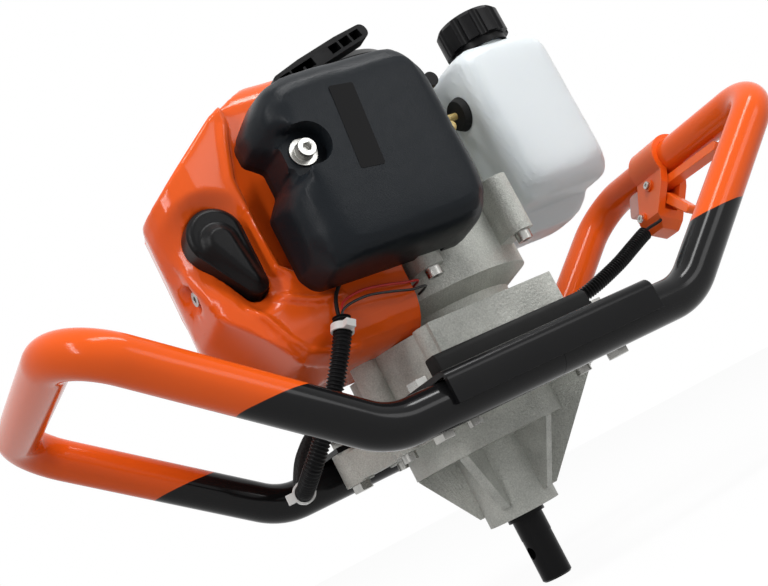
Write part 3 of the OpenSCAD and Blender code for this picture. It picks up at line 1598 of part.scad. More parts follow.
module cord(p, r, count) {
  n = sides(p, up);
  last = len(p) - 1;
  points = [for (i = [0:last]) each hoop(p, n, i, r, count)];
  faces = concat(
    [for (i = [0:last - 1]) each band(i * count, (i + 1) * count, count)],
    [[for (k = [0:count - 1]) k]],
    [[for (k = [count - 1:-1:0]) last * count + k]]);
  polyhedron(points, faces);
}

// Least distance of the conduit to itself, between places more than three diameters apart along it
conduit_line = sampled(conduit_route, conduit_slopes, cord_rings);
conduit_side = sides(conduit_line, up);
conduit_step = norm(conduit_line[1] - conduit_line[0]);
conduit_self_gap = min([for (i = [0:cord_rings], j = [0:cord_rings])
  if (abs(i - j) * conduit_step > 3 * conduit_d) norm(conduit_line[i] - conduit_line[j]) - conduit_d]);
echo(conduit_self_gap = conduit_self_gap);

// Line of a cord beside the middle of the conduit
function beside(off) = [for (i = [0:cord_rings])
  conduit_line[i] + off.x * conduit_side[i] + off.y * cross(heading(conduit_line, i), conduit_side[i])];

// Place on the sloping face of the throttle housing where a cord comes out
function unit_exit(y, lift) =
  let (x = -unit_half + unit_chamfer / 2 - lift / sqrt(2), z = -unit_reach
    + unit_chamfer / 2 - lift / sqrt(2))
  [grip_x + x * cos(unit_tilt) + z * sin(unit_tilt), y, grip_z - x * sin(unit_tilt) + z * cos(unit_tilt)];

function lead(points, start, finish, count) =
  let (v = smooth(points, start, finish))
  sampled(points, v, count);

function rest(list, from) = [for (i = [from:len(list) - 1]) list[i]];

function all_but_last(list) = [for (i = [0:len(list) - 2]) list[i]];

function cord_line(off, y, tail, finish) =
  let (inside = beside(off), from = [unit_exit(y, 0.4), unit_exit(y, 3)])
  concat(all_but_last(lead(concat(from, [inside[0]]), conduit_start, conduit_start, 5)),
     inside,
     rest(lead(concat([inside[cord_rings]], tail), conduit_finish, finish, 3 * len(tail)), 1));

module wiring_conduit() {
  color(black) lift()
    ribbed_tube(conduit_route, conduit_slopes, conduit_ribs, conduit_d / 2, conduit_d / 2 - conduit_rib,
          conduit_bore / 2, conduit_sides);
}

module throttle_cable() {
  color(rubber) lift() cord(cord_line(cable_side, cable_y, cable_tail, [1, 0, 0]), cable_r, 8);
}

module stop_wires() {
  for (i = [0, 1])
    color(i == 0 ? "#b02018" : black) lift()
      cord(cord_line(wire_sides[i], wire_y + wire_gap * i, wire_tails[i], [0, 1, 0]), wire_r, 8);
}

module cable_ties() {
  for (s = tie_spots) {
    p = along(conduit_route, conduit_slopes, s * (len(conduit_route) - 1));
    q = along(conduit_route, conduit_slopes, (s + 0.005) * (len(conduit_route) - 1));
    d = q - p;
    inner = conduit_d / 2 + 0.1;
    color(white) lift() translate(p) rotate([0, acos(d.z / norm(d)), atan2(d.y, d.x)])
      translate([0, 0, -tie_w / 2]) difference() {
        union() {
          cylinder(r = inner + tie_t, h = tie_w);
          translate([-3, -inner - 5, 0]) cube([6, 5, tie_w]);
        }
        translate([0, 0, -over]) cylinder(r = inner, h = tie_w + 2 * over);
      }
  }
}

left_handle();
right_handle();
front_saddle_plate();
rear_saddle_plate();
front_rubber_mount();
rear_rubber_mount();
frame_bolts();
gearbox_lower_case();
gearbox_upper_case();
gearbox_bolts();
oil_seal();
output_bearings();
output_shaft();
output_gear();
layshaft();
layshaft_gear();
layshaft_bearings();
drum_bearing();
clutch_drum();
clutch_rotor();
left_clutch_shoe();
right_clutch_shoe();
flywheel_fan();
crankshaft();
clutch_housing();
housing_bolts();
crankcase();
engine_cylinder();
spark_plug();
spark_plug_boot();
engine_cover();
cover_screws();
muffler();
intake_block();
carburettor();
throttle_arm();
choke_lever();
primer_bulb();
air_filter_base();
filter_element();
air_filter_cover();
filter_cover_bolt();
recoil_housing();
recoil_screws();
recoil_pulley();
starter_rope();
starter_grip();
fuel_tank();
fuel_cap();
tank_grommet();
fuel_line();
throttle_housing();
unit_screws();
throttle_trigger();
lockout_lever();
stop_button();
wiring_conduit();
cable_ties();
throttle_cable();
stop_wires();
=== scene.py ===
"""Looks of the earth auger power head: finishes, rounded edges, wiring, rope and studio."""
import json
import math

import bmesh
import bpy
from bpy.props import (FloatProperty, FloatVectorProperty, IntProperty,
                       PointerProperty)
from mathutils import Matrix, Vector

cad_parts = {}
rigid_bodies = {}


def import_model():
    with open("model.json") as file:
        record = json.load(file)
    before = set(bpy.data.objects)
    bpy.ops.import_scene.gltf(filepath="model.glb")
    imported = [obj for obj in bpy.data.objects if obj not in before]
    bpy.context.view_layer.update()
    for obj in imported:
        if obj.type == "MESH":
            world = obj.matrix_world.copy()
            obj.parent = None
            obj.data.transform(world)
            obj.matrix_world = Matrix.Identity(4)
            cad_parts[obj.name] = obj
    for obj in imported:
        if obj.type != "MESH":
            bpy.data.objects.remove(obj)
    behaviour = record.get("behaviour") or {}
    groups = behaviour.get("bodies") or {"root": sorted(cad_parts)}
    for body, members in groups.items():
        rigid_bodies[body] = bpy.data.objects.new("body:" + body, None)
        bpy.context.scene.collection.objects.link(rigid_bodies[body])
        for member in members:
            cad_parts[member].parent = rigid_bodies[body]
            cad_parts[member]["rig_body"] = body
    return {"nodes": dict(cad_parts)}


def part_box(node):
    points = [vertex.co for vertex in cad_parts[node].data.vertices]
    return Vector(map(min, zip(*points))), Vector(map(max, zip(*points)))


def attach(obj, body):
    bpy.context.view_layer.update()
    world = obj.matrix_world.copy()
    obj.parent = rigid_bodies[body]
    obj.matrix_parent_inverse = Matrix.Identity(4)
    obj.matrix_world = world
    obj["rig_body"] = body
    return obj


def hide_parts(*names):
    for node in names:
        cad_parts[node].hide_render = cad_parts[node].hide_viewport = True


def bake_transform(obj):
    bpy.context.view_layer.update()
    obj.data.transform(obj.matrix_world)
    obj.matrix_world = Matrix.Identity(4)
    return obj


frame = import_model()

bl_info = {
    "name": "Earth auger power head",
    "version": (1, 0, 0),
    "blender": (4, 5, 0),
    "location": "View3D > Sidebar > Auger",
    "description": "Dresses the packed power head and sets up its studio",
    "category": "Object",
}

NODES = frame["nodes"]
BODY_OF = {name: node["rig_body"] for name, node in NODES.items()}
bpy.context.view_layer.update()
BAR_AXIS = 98.5
MM = 0.001
GRIP_X, GRIP_Z = 251.444, 105.07
EDGE_SLIP = 0.0006


def at(x, y, z):
    """Point of the object in metres, from millimetres with the bars' axis as height zero."""
    return Vector((x, y, z + BAR_AXIS)) * MM


# Settings

class AugerPaint(bpy.types.PropertyGroup):
    """Colours of the painted and moulded pieces."""

    orange: FloatVectorProperty(
        name="Orange", description="Colour of the handles and the engine cover", subtype="COLOR",
        size=3, min=0.0, max=1.0, default=(0.85, 0.110, 0.010))
    black: FloatVectorProperty(
        name="Black", description="Colour of the bars and the moulded covers", subtype="COLOR",
        size=3, min=0.0, max=1.0, default=(0.0075, 0.0075, 0.008))
    alloy: FloatVectorProperty(
        name="Alloy", description="Colour of the sand-cast housings", subtype="COLOR",
        size=3, min=0.0, max=1.0, default=(0.53, 0.54, 0.50))
    tank: FloatVectorProperty(
        name="Tank", description="Colour of the milky fuel tank", subtype="COLOR",
        size=3, min=0.0, max=1.0, default=(0.77, 0.815, 0.835))
    dip_line: FloatProperty(
        name="Dip line", description="Height where the orange paint meets the black", unit="LENGTH",
        default=0.1375, min=0.1, max=0.2)


class AugerWiring(bpy.types.PropertyGroup):
    """Sizes of the wiring under the frame."""

    conduit: FloatProperty(
        name="Conduit", description="Outer diameter of the ribbed conduit", unit="LENGTH",
        default=0.011, min=0.008, max=0.014)
    rib_depth: FloatProperty(
        name="Rib depth", description="Depth of the grooves between ribs", unit="LENGTH",
        default=0.0011, min=0.0, max=0.002)
    ribs: IntProperty(
        name="Ribs", description="Number of ribs along the conduit", default=250, min=20, max=400)


class AugerStudio(bpy.types.PropertyGroup):
    """Light and camera."""

    key: FloatProperty(
        name="Key light", description="Power of the wide lamp overhead", unit="POWER",
        default=24.0, min=0.0)
    fill: FloatProperty(
        name="Fill light", description="Power of the soft lamp in front", unit="POWER",
        default=5.0, min=0.0)
    sky: FloatProperty(
        name="Room light", description="Even light from the room", default=0.30, min=0.0, max=2.0)
    lens: FloatProperty(
        name="Lens", description="Focal length in millimetres", default=56.66, min=20.0)


SETTINGS = {"auger_paint": AugerPaint, "auger_wiring": AugerWiring, "auger_studio": AugerStudio}


def settings(name):
    return getattr(bpy.context.scene, "auger_" + name)


# Material arithmetic

class Flow:
    """A value flowing through a material, with the usual arithmetic."""

    def __init__(self, tree, socket):
        self.tree = tree
        self.socket = socket

    def node(self, kind, output=0, inputs=None, **options):
        """The output of any node fed with values, numbers or this flow."""
        made = self.tree.nodes.new(kind)
        for key, value in options.items():
            setattr(made, key, value)
        for key, value in (inputs or {}).items():
            if isinstance(value, Flow):
                self.tree.links.new(value.socket, made.inputs[key])
            else:
                made.inputs[key].default_value = value
        return Flow(self.tree, made.outputs[output])

    def math(self, operation, other=0.0, clamp=False):
        return self.node("ShaderNodeMath", 0, {0: self, 1: other},
                         operation=operation, use_clamp=clamp)

    def __add__(self, other):
        return self.math("ADD", other)

    def __sub__(self, other):
        return self.math("SUBTRACT", other)

    def __mul__(self, other):
        return self.math("MULTIPLY", other)

    def clamped(self):
        return self.math("ADD", 0.0, clamp=True)

    def between(self, low, high):
        """This value from 0 to 1 stretched from low to high."""
        return self * (high - low) + low

    def mixed(self, first, second):
        """The first colour where this is 0 and the second where it is 1."""
        return self.node("ShaderNodeMix", 2, {0: self, 6: rgba(first), 7: rgba(second)},
                         data_type="RGBA")


def rgba(colour):
    return (*colour, 1.0)


class Surface:
    """A material being made: its shader, and where on the object it is asked for."""

    def __init__(self, name, colour, roughness, metallic=0.0, **fixed):
        self.material = bpy.data.materials.new(name)
        self.material.use_nodes = True
        tree = self.material.node_tree
        self.shader = tree.nodes["Principled BSDF"]
        self.tree = tree
        coordinates = tree.nodes.new("ShaderNodeTexCoord")
        self.place = Flow(tree, coordinates.outputs["Object"])
        fixed.update(Base_Color=rgba(colour), Roughness=roughness, Metallic=metallic)
        for key, value in fixed.items():
            self.shader.inputs[key.replace("_", " ")].default_value = value

    def feed(self, **flows):
        for key, flow in flows.items():
            self.tree.links.new(flow.socket, self.shader.inputs[key.replace("_", " ")])
        return self

    def noise(self, scale, detail=3.0, roughness=0.5):
        return self.place.node("ShaderNodeTexNoise", 0, {
            "Vector": self.place, "Scale": scale, "Detail": detail, "Roughness": roughness})

    def grain(self, height, strength, depth):
        """Raises the surface by a height flow."""
        bump = self.place.node("ShaderNodeBump", 0, {
            "Height": height, "Strength": strength, "Distance": depth})
        return self.feed(Normal=bump)

    def height(self):
        return self.place.node("ShaderNodeSeparateXYZ", 2, {0: self.place})


def handle_paint():
    paint = settings("paint")
    made = Surface("handle_paint", paint.orange, 0.14, Specular_IOR_Level=0.16)
    wave = made.noise(60.0, 1.0).between(-0.0004, 0.0004)
    above = ((made.height() + wave - paint.dip_line) * 2500.0 + 0.5).clamped()
    made.feed(Base_Color=above.mixed(paint.black, paint.orange),
              Roughness=made.noise(25.0).between(0.10, 0.18))
    made.grain(made.noise(110.0, 1.0), 0.02, 0.0004)
    return made.material


def bar_paint():
    made = Surface("bar_paint", settings("paint").black, 0.2, Specular_IOR_Level=0.12)
    made.feed(Roughness=made.noise(30.0).between(0.14, 0.26))
    made.grain(made.noise(130.0, 1.0), 0.02, 0.0004)
    return made.material


def cover_plastic():
    made = Surface("cover_plastic", settings("paint").orange, 0.18, Specular_IOR_Level=0.25)
    made.feed(Roughness=made.noise(18.0).between(0.13, 0.22))
    made.grain(made.noise(70.0, 2.0), 0.03, 0.001)
    return made.material


def unit_plastic():
    made = Surface("unit_plastic", (0.95, 0.14, 0.012), 0.24, Specular_IOR_Level=0.3,
                   Subsurface_Weight=0.25, Subsurface_Radius=(0.004, 0.0012, 0.0004))
    made.feed(Roughness=made.noise(40.0).between(0.18, 0.3))
    return made.material


def button_cap():
    made = Surface("button_cap", (0.90, 0.50, 0.42), 0.22, Transmission_Weight=0.45, IOR=1.49)
    made.feed(Roughness=made.noise(60.0).between(0.16, 0.28))
    return made.material


def tank_wall():
    made = Surface("tank_wall", settings("paint").tank, 0.34, Specular_IOR_Level=0.25,
                   Subsurface_Weight=0.8, Subsurface_Radius=(0.018, 0.018, 0.019))
    made.feed(Roughness=made.noise(14.0).between(0.3, 0.4))
    made.grain(made.noise(40.0, 2.0), 0.05, 0.001)
    return made.material


def sand_cast():
    paint = settings("paint")
    made = Surface("sand_cast", paint.alloy, 0.46, 0.15, Specular_IOR_Level=0.35)
    blotch = made.noise(35.0, 4.0) * 0.55 + made.noise(1100.0, 2.0) * 0.45
    tone = ((blotch - 0.5) * 2.6 + 0.5).clamped()
    dark = [c * 0.66 for c in paint.alloy]
    light = [min(c * 1.3, 1.0) for c in paint.alloy]
    made.feed(Base_Color=tone.mixed(dark, light),
              Roughness=made.noise(500.0, 4.0).between(0.34, 0.58))
    made.grain(made.noise(560.0, 5.0, 0.65), 0.7, 0.0012)
    return made.material


def die_cast():
    made = Surface("die_cast", (0.55, 0.55, 0.54), 0.38, 0.9)
    made.feed(Roughness=made.noise(300.0, 3.0).between(0.3, 0.46))
    return made.material


def moulded_black():
    made = Surface("moulded_black", settings("paint").black, 0.34, Specular_IOR_Level=0.1)
    made.feed(Roughness=made.noise(200.0, 3.0).between(0.28, 0.4))
    made.grain(made.noise(900.0, 3.0), 0.12, 0.0005)
    return made.material


def satin_black_painted_reflection():
    # The blue in this black is a painted reflection of the sky; the plastic itself is plain black.
    made = Surface("satin_black_painted_reflection", (0.009, 0.0115, 0.0145), 0.34, Specular_IOR_Level=0.12)
    made.feed(Roughness=made.noise(160.0, 3.0).between(0.3, 0.42))
    made.grain(made.noise(1500.0, 3.0), 0.2, 0.0005)
    return made.material


def label_film():
    made = Surface("label_film", (0.003, 0.003, 0.0035), 0.12, Specular_IOR_Level=0.04)
    made.feed(Roughness=made.noise(120.0).between(0.09, 0.16))
    return made.material


def rubber_black():
    made = Surface("rubber_black", (0.011, 0.011, 0.011), 0.6, Specular_IOR_Level=0.15)
    made.feed(Roughness=made.noise(150.0, 3.0).between(0.5, 0.7))
    made.grain(made.noise(700.0, 3.0), 0.12, 0.0005)
    return made.material


def zinc_plate():
    made = Surface("zinc_plate", (0.42, 0.42, 0.40), 0.24, 1.0)
    tint = made.noise(180.0, 2.0)
    made.feed(Base_Color=tint.mixed((0.34, 0.34, 0.33), (0.50, 0.49, 0.46)),
              Roughness=made.noise(400.0, 3.0).between(0.2, 0.38))
    return made.material


def shaft_oxide():
    made = Surface("shaft_oxide", (0.005, 0.005, 0.0055), 0.26, 0.0, Specular_IOR_Level=0.1)
    made.feed(Roughness=made.noise(250.0, 4.0).between(0.24, 0.42))
    made.grain(made.noise(500.0, 3.0), 0.06, 0.0004)
    return made.material


def turned_steel():
    made = Surface("turned_steel", (0.56, 0.56, 0.57), 0.26, 1.0)
    made.feed(Roughness=made.noise(350.0, 3.0).between(0.2, 0.34))
    return made.material


def heated_steel():
    made = Surface("heated_steel", (0.25, 0.23, 0.21), 0.45, 0.9)
    made.feed(Base_Color=made.noise(45.0, 4.0).mixed((0.16, 0.15, 0.14), (0.34, 0.30, 0.26)),
              Roughness=made.noise(300.0, 3.0).between(0.36, 0.58))
    return made.material


def filter_foam():
    made = Surface("filter_foam", (0.05, 0.05, 0.052), 0.9)
    cells = made.place.node("ShaderNodeTexVoronoi", 0, {"Vector": made.place, "Scale": 900.0})
    made.feed(Base_Color=cells.mixed((0.015, 0.015, 0.016), (0.09, 0.09, 0.09)))
    made.grain(cells, 0.6, 0.0008)
    return made.material


def fuel_hose():
    made = Surface("fuel_hose", (0.72, 0.55, 0.22), 0.25, Transmission_Weight=0.3, IOR=1.45)
    made.feed(Roughness=made.noise(90.0).between(0.2, 0.32))
    return made.material


def primer_rubber():
    made = Surface("primer_rubber", (0.75, 0.72, 0.66), 0.3, Transmission_Weight=0.35, IOR=1.43)
    made.feed(Roughness=made.noise(90.0).between(0.25, 0.36))
    return made.material


def porcelain():
    made = Surface("porcelain", (0.85, 0.84, 0.81), 0.12, Coat_Weight=0.5)
    made.feed(Roughness=made.noise(60.0).between(0.08, 0.18))
    return made.material


def wire_sheath(name, colour):
    made = Surface(name, colour, 0.35)
    made.feed(Roughness=made.noise(200.0).between(0.28, 0.42))
    return made.material


def tie_nylon():
    made = Surface("tie_nylon", (0.80, 0.80, 0.78), 0.35,
                   Subsurface_Weight=0.2, Subsurface_Radius=(0.002, 0.002, 0.002))
    made.feed(Roughness=made.noise(200.0).between(0.3, 0.42))
    return made.material


def rope_yarn():
    made = Surface("rope_yarn", (0.62, 0.60, 0.55), 0.8)
    strands = made.noise(900.0, 2.0)
    made.feed(Base_Color=strands.mixed((0.36, 0.34, 0.30), (0.78, 0.76, 0.70)))
    made.grain(strands, 0.3, 0.0005)
    return made.material


# No finish has the name of a material that comes with the frame.
FINISHES = {
    "handle_paint": handle_paint, "bar_paint": bar_paint, "cover_plastic": cover_plastic,
    "unit_plastic": unit_plastic, "button_cap": button_cap, "tank_wall": tank_wall,
    "sand_cast": sand_cast, "die_cast": die_cast, "moulded_black": moulded_black,
    "satin_black_painted_reflection": satin_black_painted_reflection, "rubber_black": rubber_black, "label_film": label_film,
    "zinc_plate": zinc_plate, "shaft_oxide": shaft_oxide, "turned_steel": turned_steel,
    "heated_steel": heated_steel, "filter_foam": filter_foam, "fuel_hose": fuel_hose,
    "primer_rubber": primer_rubber, "porcelain": porcelain, "tie_nylon": tie_nylon,
    "rope_yarn": rope_yarn,
    "red_sheath": lambda: wire_sheath("red_sheath", (0.62, 0.02, 0.015)),
    "black_sheath": lambda: wire_sheath("black_sheath", (0.012, 0.012, 0.012)),
}


def finish(name):
    """The named finish, made when it is first asked for."""
    return bpy.data.materials.get(name) or FINISHES[name]()


# Shapes

def placed(name, mesh, body):
    """A new piece in the shared frame, moving with one body."""
    made = bpy.data.objects.new(name, mesh)
    bpy.context.scene.collection.objects.link(made)
    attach(made, body)
    return made


def evaluated(made):
    """The mesh of an object after its modifiers."""
    bpy.context.view_layer.update()
    graph = bpy.context.evaluated_depsgraph_get()
    return bpy.data.meshes.new_from_object(made.evaluated_get(graph), depsgraph=graph)


def as_mesh(shape, name):
    """A new mesh from a shape that isn't needed any more."""
    mesh = bpy.data.meshes.new(name)
    shape.to_mesh(mesh)
    shape.free()
    return mesh


def extent(mesh):
    """The two far corners of a mesh."""
    points = [v.co for v in mesh.vertices]
    low = Vector([min(p[k] for p in points) for k in range(3)])
    high = Vector([max(p[k] for p in points) for k in range(3)])
    return low, high


def joined_faces(node):
    """The node's shape with its triangles joined and its flat faces whole."""
    shape = bmesh.new()
    shape.from_mesh(NODES[node].data)
    bmesh.ops.remove_doubles(shape, verts=shape.verts, dist=2e-6)
    bmesh.ops.dissolve_limit(shape, angle_limit=math.radians(0.4), verts=shape.verts,
                             edges=shape.edges, use_dissolve_boundaries=False)
    return shape


def shade(shape, angle):
    """Smooth faces, with an edge kept sharp where it turns by more than the angle."""
    for face in shape.faces:
        face.smooth = True
    limit = math.radians(angle)
    for edge in shape.edges:
        edge.smooth = len(edge.link_faces) == 2 and edge.calc_face_angle(0.0) < limit


def rounded(node, width, segments=2, angle=32.0):
    """The node's mesh with its sharp edges rounded off by a width in millimetres.

    Where the rounding would move the mesh's far corners, its edges stay sharp.
    """
    shape = joined_faces(node)
    shade(shape, angle)
    mesh = as_mesh(shape, node + "_dressed")
    if width <= 0.0:
        return mesh
    carrier = bpy.data.objects.new(node + "_carrier", mesh)
    bpy.context.scene.collection.objects.link(carrier)
    bevel = carrier.modifiers.new("edges", "BEVEL")
    bevel.width = width * MM
    bevel.segments = segments
    bevel.limit_method = "ANGLE"
    bevel.angle_limit = math.radians(angle)
    bevel.use_clamp_overlap = True
    bevel.harden_normals = True
    bevel.miter_outer = "MITER_ARC"
    softer = evaluated(carrier)
    bpy.data.objects.remove(carrier)
    low, high = extent(mesh)
    new_low, new_high = extent(softer)
    spread = max((new_low - low).length, (new_high - high).length)
    if spread > EDGE_SLIP:
        bpy.data.meshes.remove(softer)
        return mesh
    return softer


def put(node, mesh, look):
    """Puts a mesh in the place of a node, with a finish."""
    mesh.materials.clear()
    mesh.materials.append(finish(look))
    made = placed(node + "_piece", mesh, BODY_OF[node])
    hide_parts(node)


def dress(node, look, width=0.0, **options):
    """Puts the rounded shape of a node in its place, with a finish."""
    put(node, rounded(node, width, **options), look)


def in_mm(point):
    """Millimetres with the bars' axis as height zero, from a point of the object in metres."""
    return point.x / MM, point.y / MM, point.z / MM - BAR_AXIS


def eased(value, low, high):
    """A smooth step from 0 at low to 1 at high."""
    t = min(max((value - low) / (high - low), 0.0), 1.0)
    return t * t * (3 - 2 * t)


def refined(node, longest, merged=()):
    """The node's shape in small triangles, with edges up to the length given for their place.

    Lengths are in millimetres. Points of a loose set are merged first within a reach.
    """
    shape = joined_faces(node)
    if merged:
        loose, reach = merged
        close = [v for v in shape.verts if loose(*in_mm(v.co))]
        bmesh.ops.remove_doubles(shape, verts=close, dist=reach * MM)
    bmesh.ops.triangulate(shape, faces=shape.faces)
    for _ in range(9):
        flat = [e for e in shape.edges
                if len(e.link_faces) == 2 and e.calc_face_angle(1.0) < 0.01]
        bmesh.ops.beautify_fill(shape, faces=shape.faces, edges=flat)
        long = [e for e in shape.edges
                if e.calc_length() > MM * longest(*in_mm((e.verts[0].co + e.verts[1].co) / 2))]
        if not long:
            break
        bmesh.ops.subdivide_edges(shape, edges=long, cuts=1)
        bmesh.ops.triangulate(shape, faces=[f for f in shape.faces if len(f.verts) > 3])
    return shape


def sculpted(node, look, longest, rounds=0, loose=None, move=None, sharp=50.0, merge=0.0):
    """Puts a node's shape in its place with softened forms and points moved in millimetres."""
    shape = refined(node, longest, (loose, merge) if merge else ())
    soft = [v for v in shape.verts if loose and loose(*in_mm(v.co))]
    for _ in range(rounds):
        bmesh.ops.smooth_vert(shape, verts=soft, factor=0.5,
                              use_axis_x=True, use_axis_y=True, use_axis_z=True)
    if move:
        for vert in shape.verts:
            vert.co = at(*move(*in_mm(vert.co)))
    bmesh.ops.remove_doubles(shape, verts=shape.verts, dist=5e-6)
    shape.normal_update()
    shade(shape, sharp)
    put(node, as_mesh(shape, node + "_sculpted"), look)


def from_segment(x, z, start, stop):
    """Distance from a point to a segment, and how far along it the nearest place is."""
    dx, dz = stop[0] - start[0], stop[1] - start[1]
    t = ((x - start[0]) * dx + (z - start[1]) * dz) / (dx * dx + dz * dz)
    t = min(max(t, 0.0), 1.0)
    return math.hypot(x - start[0] - t * dx, z - start[1] - t * dz), t


def beside_line(x, z, line):
    """Distance from a point to a line of points."""
    return min(from_segment(x, z, start, stop)[0] for start, stop in zip(line, line[1:]))


def within(x, z, outline):
    """Distance to an outline, positive inside it."""
    inside = False
    for (ax, az), (bx, bz) in zip(outline, outline[1:] + outline[:1]):
        if (az > z) != (bz > z) and x < ax + (z - az) * (bx - ax) / (bz - az):
            inside = not inside
    gap = beside_line(x, z, outline + outline[:1])
    return gap if inside else -gap


def outside_pear(x, z, big=(-134.0, 143.0, 17.0), small=(-124.0, 110.0, 7.0)):
    """Distance from a pear outline round two circles, the boot's unless given, negative inside."""
    gap, t = from_segment(x, z, big, small)
    return gap - big[2] - t * (small[2] - big[2])


def bend_through(points, radii, step=4.0):
    """A line through the points with its corners rounded, in millimetres."""
    points = [Vector(p) for p in points]
    line = [points[0]]
    for before, corner, after, radius in zip(points, points[1:], points[2:], radii):
        u = (corner - before).normalized()
        v = (after - corner).normalized()
        turn = u.angle(v)
        reach = radius * math.tan(turn / 2)
        middle = corner + (v - u).normalized() * radius / math.cos(turn / 2)
        arm = corner - u * reach - middle
        axis = u.cross(v).normalized()
        count = max(2, int(math.degrees(turn) / step))
        line += [middle + Matrix.Rotation(turn * k / count, 3, axis) @ arm
                 for k in range(count + 1)]
    return line + [points[-1]]


def smooth_line(points, start, finish_way, count):
    """A smooth line through route points, leaving and arriving along two given ways."""
    p = [Vector(q) for q in points]
    last = len(p) - 1
    slope = [(p[min(i + 1, last)] - p[max(i - 1, 0)]) / 2 for i in range(last + 1)]
    slope[0] = Vector(start) * (p[1] - p[0]).length
    slope[last] = Vector(finish_way) * (p[last] - p[last - 1]).length
    line = []
    for k in range(count + 1):
        s = k * last / count
        i = min(int(s), last - 1)
        t = s - i
        t2 = t * t
        t3 = t2 * t
        line.append(p[i] * (2 * t3 - 3 * t2 + 1) + slope[i] * (t3 - 2 * t2 + t)
                    + p[i + 1] * (3 * t2 - 2 * t3) + slope[i + 1] * (t3 - t2))
    return line


def line_mesh(name, points):
    mesh = bpy.data.meshes.new(name)
    mesh.from_pydata([at(*p) for p in points], [(i, i + 1) for i in range(len(points) - 1)], [])
    return mesh


def sweep_group():
    """Geometry nodes that run a round section along a line, plain or ribbed."""
    group = bpy.data.node_groups.get("round_sweep")
    if group:
        return group
    group = bpy.data.node_groups.new("round_sweep", "GeometryNodeTree")
    face = group.interface
    face.new_socket("Geometry", in_out="INPUT", socket_type="NodeSocketGeometry")
    for name, kind in (("Radius", "Float"), ("Points", "Int"), ("Ribs", "Float"),
                       ("Depth", "Float"), ("Sides", "Int"), ("Finish", "Material")):
        face.new_socket(name, in_out="INPUT", socket_type="NodeSocket" + kind)
    face.new_socket("Geometry", in_out="OUTPUT", socket_type="NodeSocketGeometry")
    make = group.nodes.new
    link = group.links.new
    given = make("NodeGroupInput")
    curve = make("GeometryNodeMeshToCurve")
    even = make("GeometryNodeResampleCurve")
    along = make("GeometryNodeSplineParameter")
    section = make("GeometryNodeCurvePrimitiveCircle")
    section.inputs["Radius"].default_value = 1.0
    skin = make("GeometryNodeCurveToMesh")
    skin.inputs["Fill Caps"].default_value = True
    smooth = make("GeometryNodeSetShadeSmooth")
    whole = make("GeometryNodeRealizeInstances")
    look = make("GeometryNodeSetMaterial")
    result = make("NodeGroupOutput")

    def calculate(operation, first, second):
        step = make("ShaderNodeMath")
        step.operation = operation
        for socket, value in zip(step.inputs, (first, second)):
            if isinstance(value, (int, float)):
                socket.default_value = value
            else:
                link(value, socket)
        return step.outputs[0]

    phase = calculate("MULTIPLY", along.outputs["Factor"],
                      calculate("MULTIPLY", given.outputs["Ribs"], 2 * math.pi))
    wave = calculate("MULTIPLY_ADD", calculate("COSINE", phase, 0.0), -0.5)
    wave.node.inputs[2].default_value = 0.5
    groove = calculate("MULTIPLY", wave, given.outputs["Depth"])
    link(given.outputs["Geometry"], curve.inputs[0])
    link(curve.outputs[0], even.inputs["Curve"])
    link(given.outputs["Points"], even.inputs["Count"])
    link(even.outputs[0], skin.inputs["Curve"])
    link(calculate("SUBTRACT", given.outputs["Radius"], groove), skin.inputs["Scale"])
    link(given.outputs["Sides"], section.inputs["Resolution"])
    link(section.outputs["Curve"], skin.inputs["Profile Curve"])
    link(skin.outputs[0], smooth.inputs[0])
    link(smooth.outputs[0], whole.inputs[0])
    link(whole.outputs[0], look.inputs["Geometry"])
    link(given.outputs["Finish"], look.inputs["Material"])
    link(look.outputs[0], result.inputs[0])
    return group


def swept(name, points, radius, look, body, sides=24, ribs=0, depth=0.0, count=None):
    """A round piece along a line of points, made by the sweep nodes."""
    carrier = bpy.data.objects.new(name + "_line", line_mesh(name, points))
    bpy.context.scene.collection.objects.link(carrier)
    sweep = carrier.modifiers.new("sweep", "NODES")
    sweep.node_group = sweep_group()
    values = {"Radius": radius * MM, "Points": count or 4 * len(points), "Ribs": float(ribs),
              "Depth": depth * MM, "Sides": sides, "Finish": finish(look)}
    for item in sweep.node_group.interface.items_tree:
        if item.in_out == "INPUT" and item.name in values:
            sweep[item.identifier] = values[item.name]
    mesh = evaluated(carrier)
    bpy.data.objects.remove(carrier)
    if not mesh.polygons:
        raise RuntimeError(name + " came out empty")
    return placed(name, mesh, body)


# Pieces

def handle_line(side):
    """The middle of one bent tube, from the front bar's middle to the rear bar's."""
    return bend_through(
        [(0.1 * side, -107, 0), (111.5 * side, -107, 0), (GRIP_X * side, -114, GRIP_Z),
         (GRIP_X * side, 95, GRIP_Z), (111.5 * side, 88, 0), (0.1 * side, 88, 0)],
        (45, 32, 32, 45), 3.0)


class Piece(bpy.types.Operator):
    """Common part of the operators that make pieces"""

    bl_options = {"INTERNAL"}

    def execute(self, context):
        self.make()
        return {"FINISHED"}


class AUGER_OT_handles(Piece):
    """Makes the bent tube handles and the saddle plates that hold them"""

    bl_idname = "auger.handles"
    bl_label = "Handle frame"

    def make(self):
        for side, node in ((-1, "left_handle"), (1, "right_handle")):
            tube = swept(node + "_tube", handle_line(side), 13.0, "handle_paint", BODY_OF[node],
                         sides=56, count=420)
            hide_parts(node)
        for node in ("front_saddle_plate", "rear_saddle_plate"):
            dress(node, "bar_paint", 0.7)
        for node in ("front_rubber_mount", "rear_rubber_mount"):
            dress(node, "rubber_black", 1.2)
        dress("frame_bolts", "zinc_plate", 0.3)


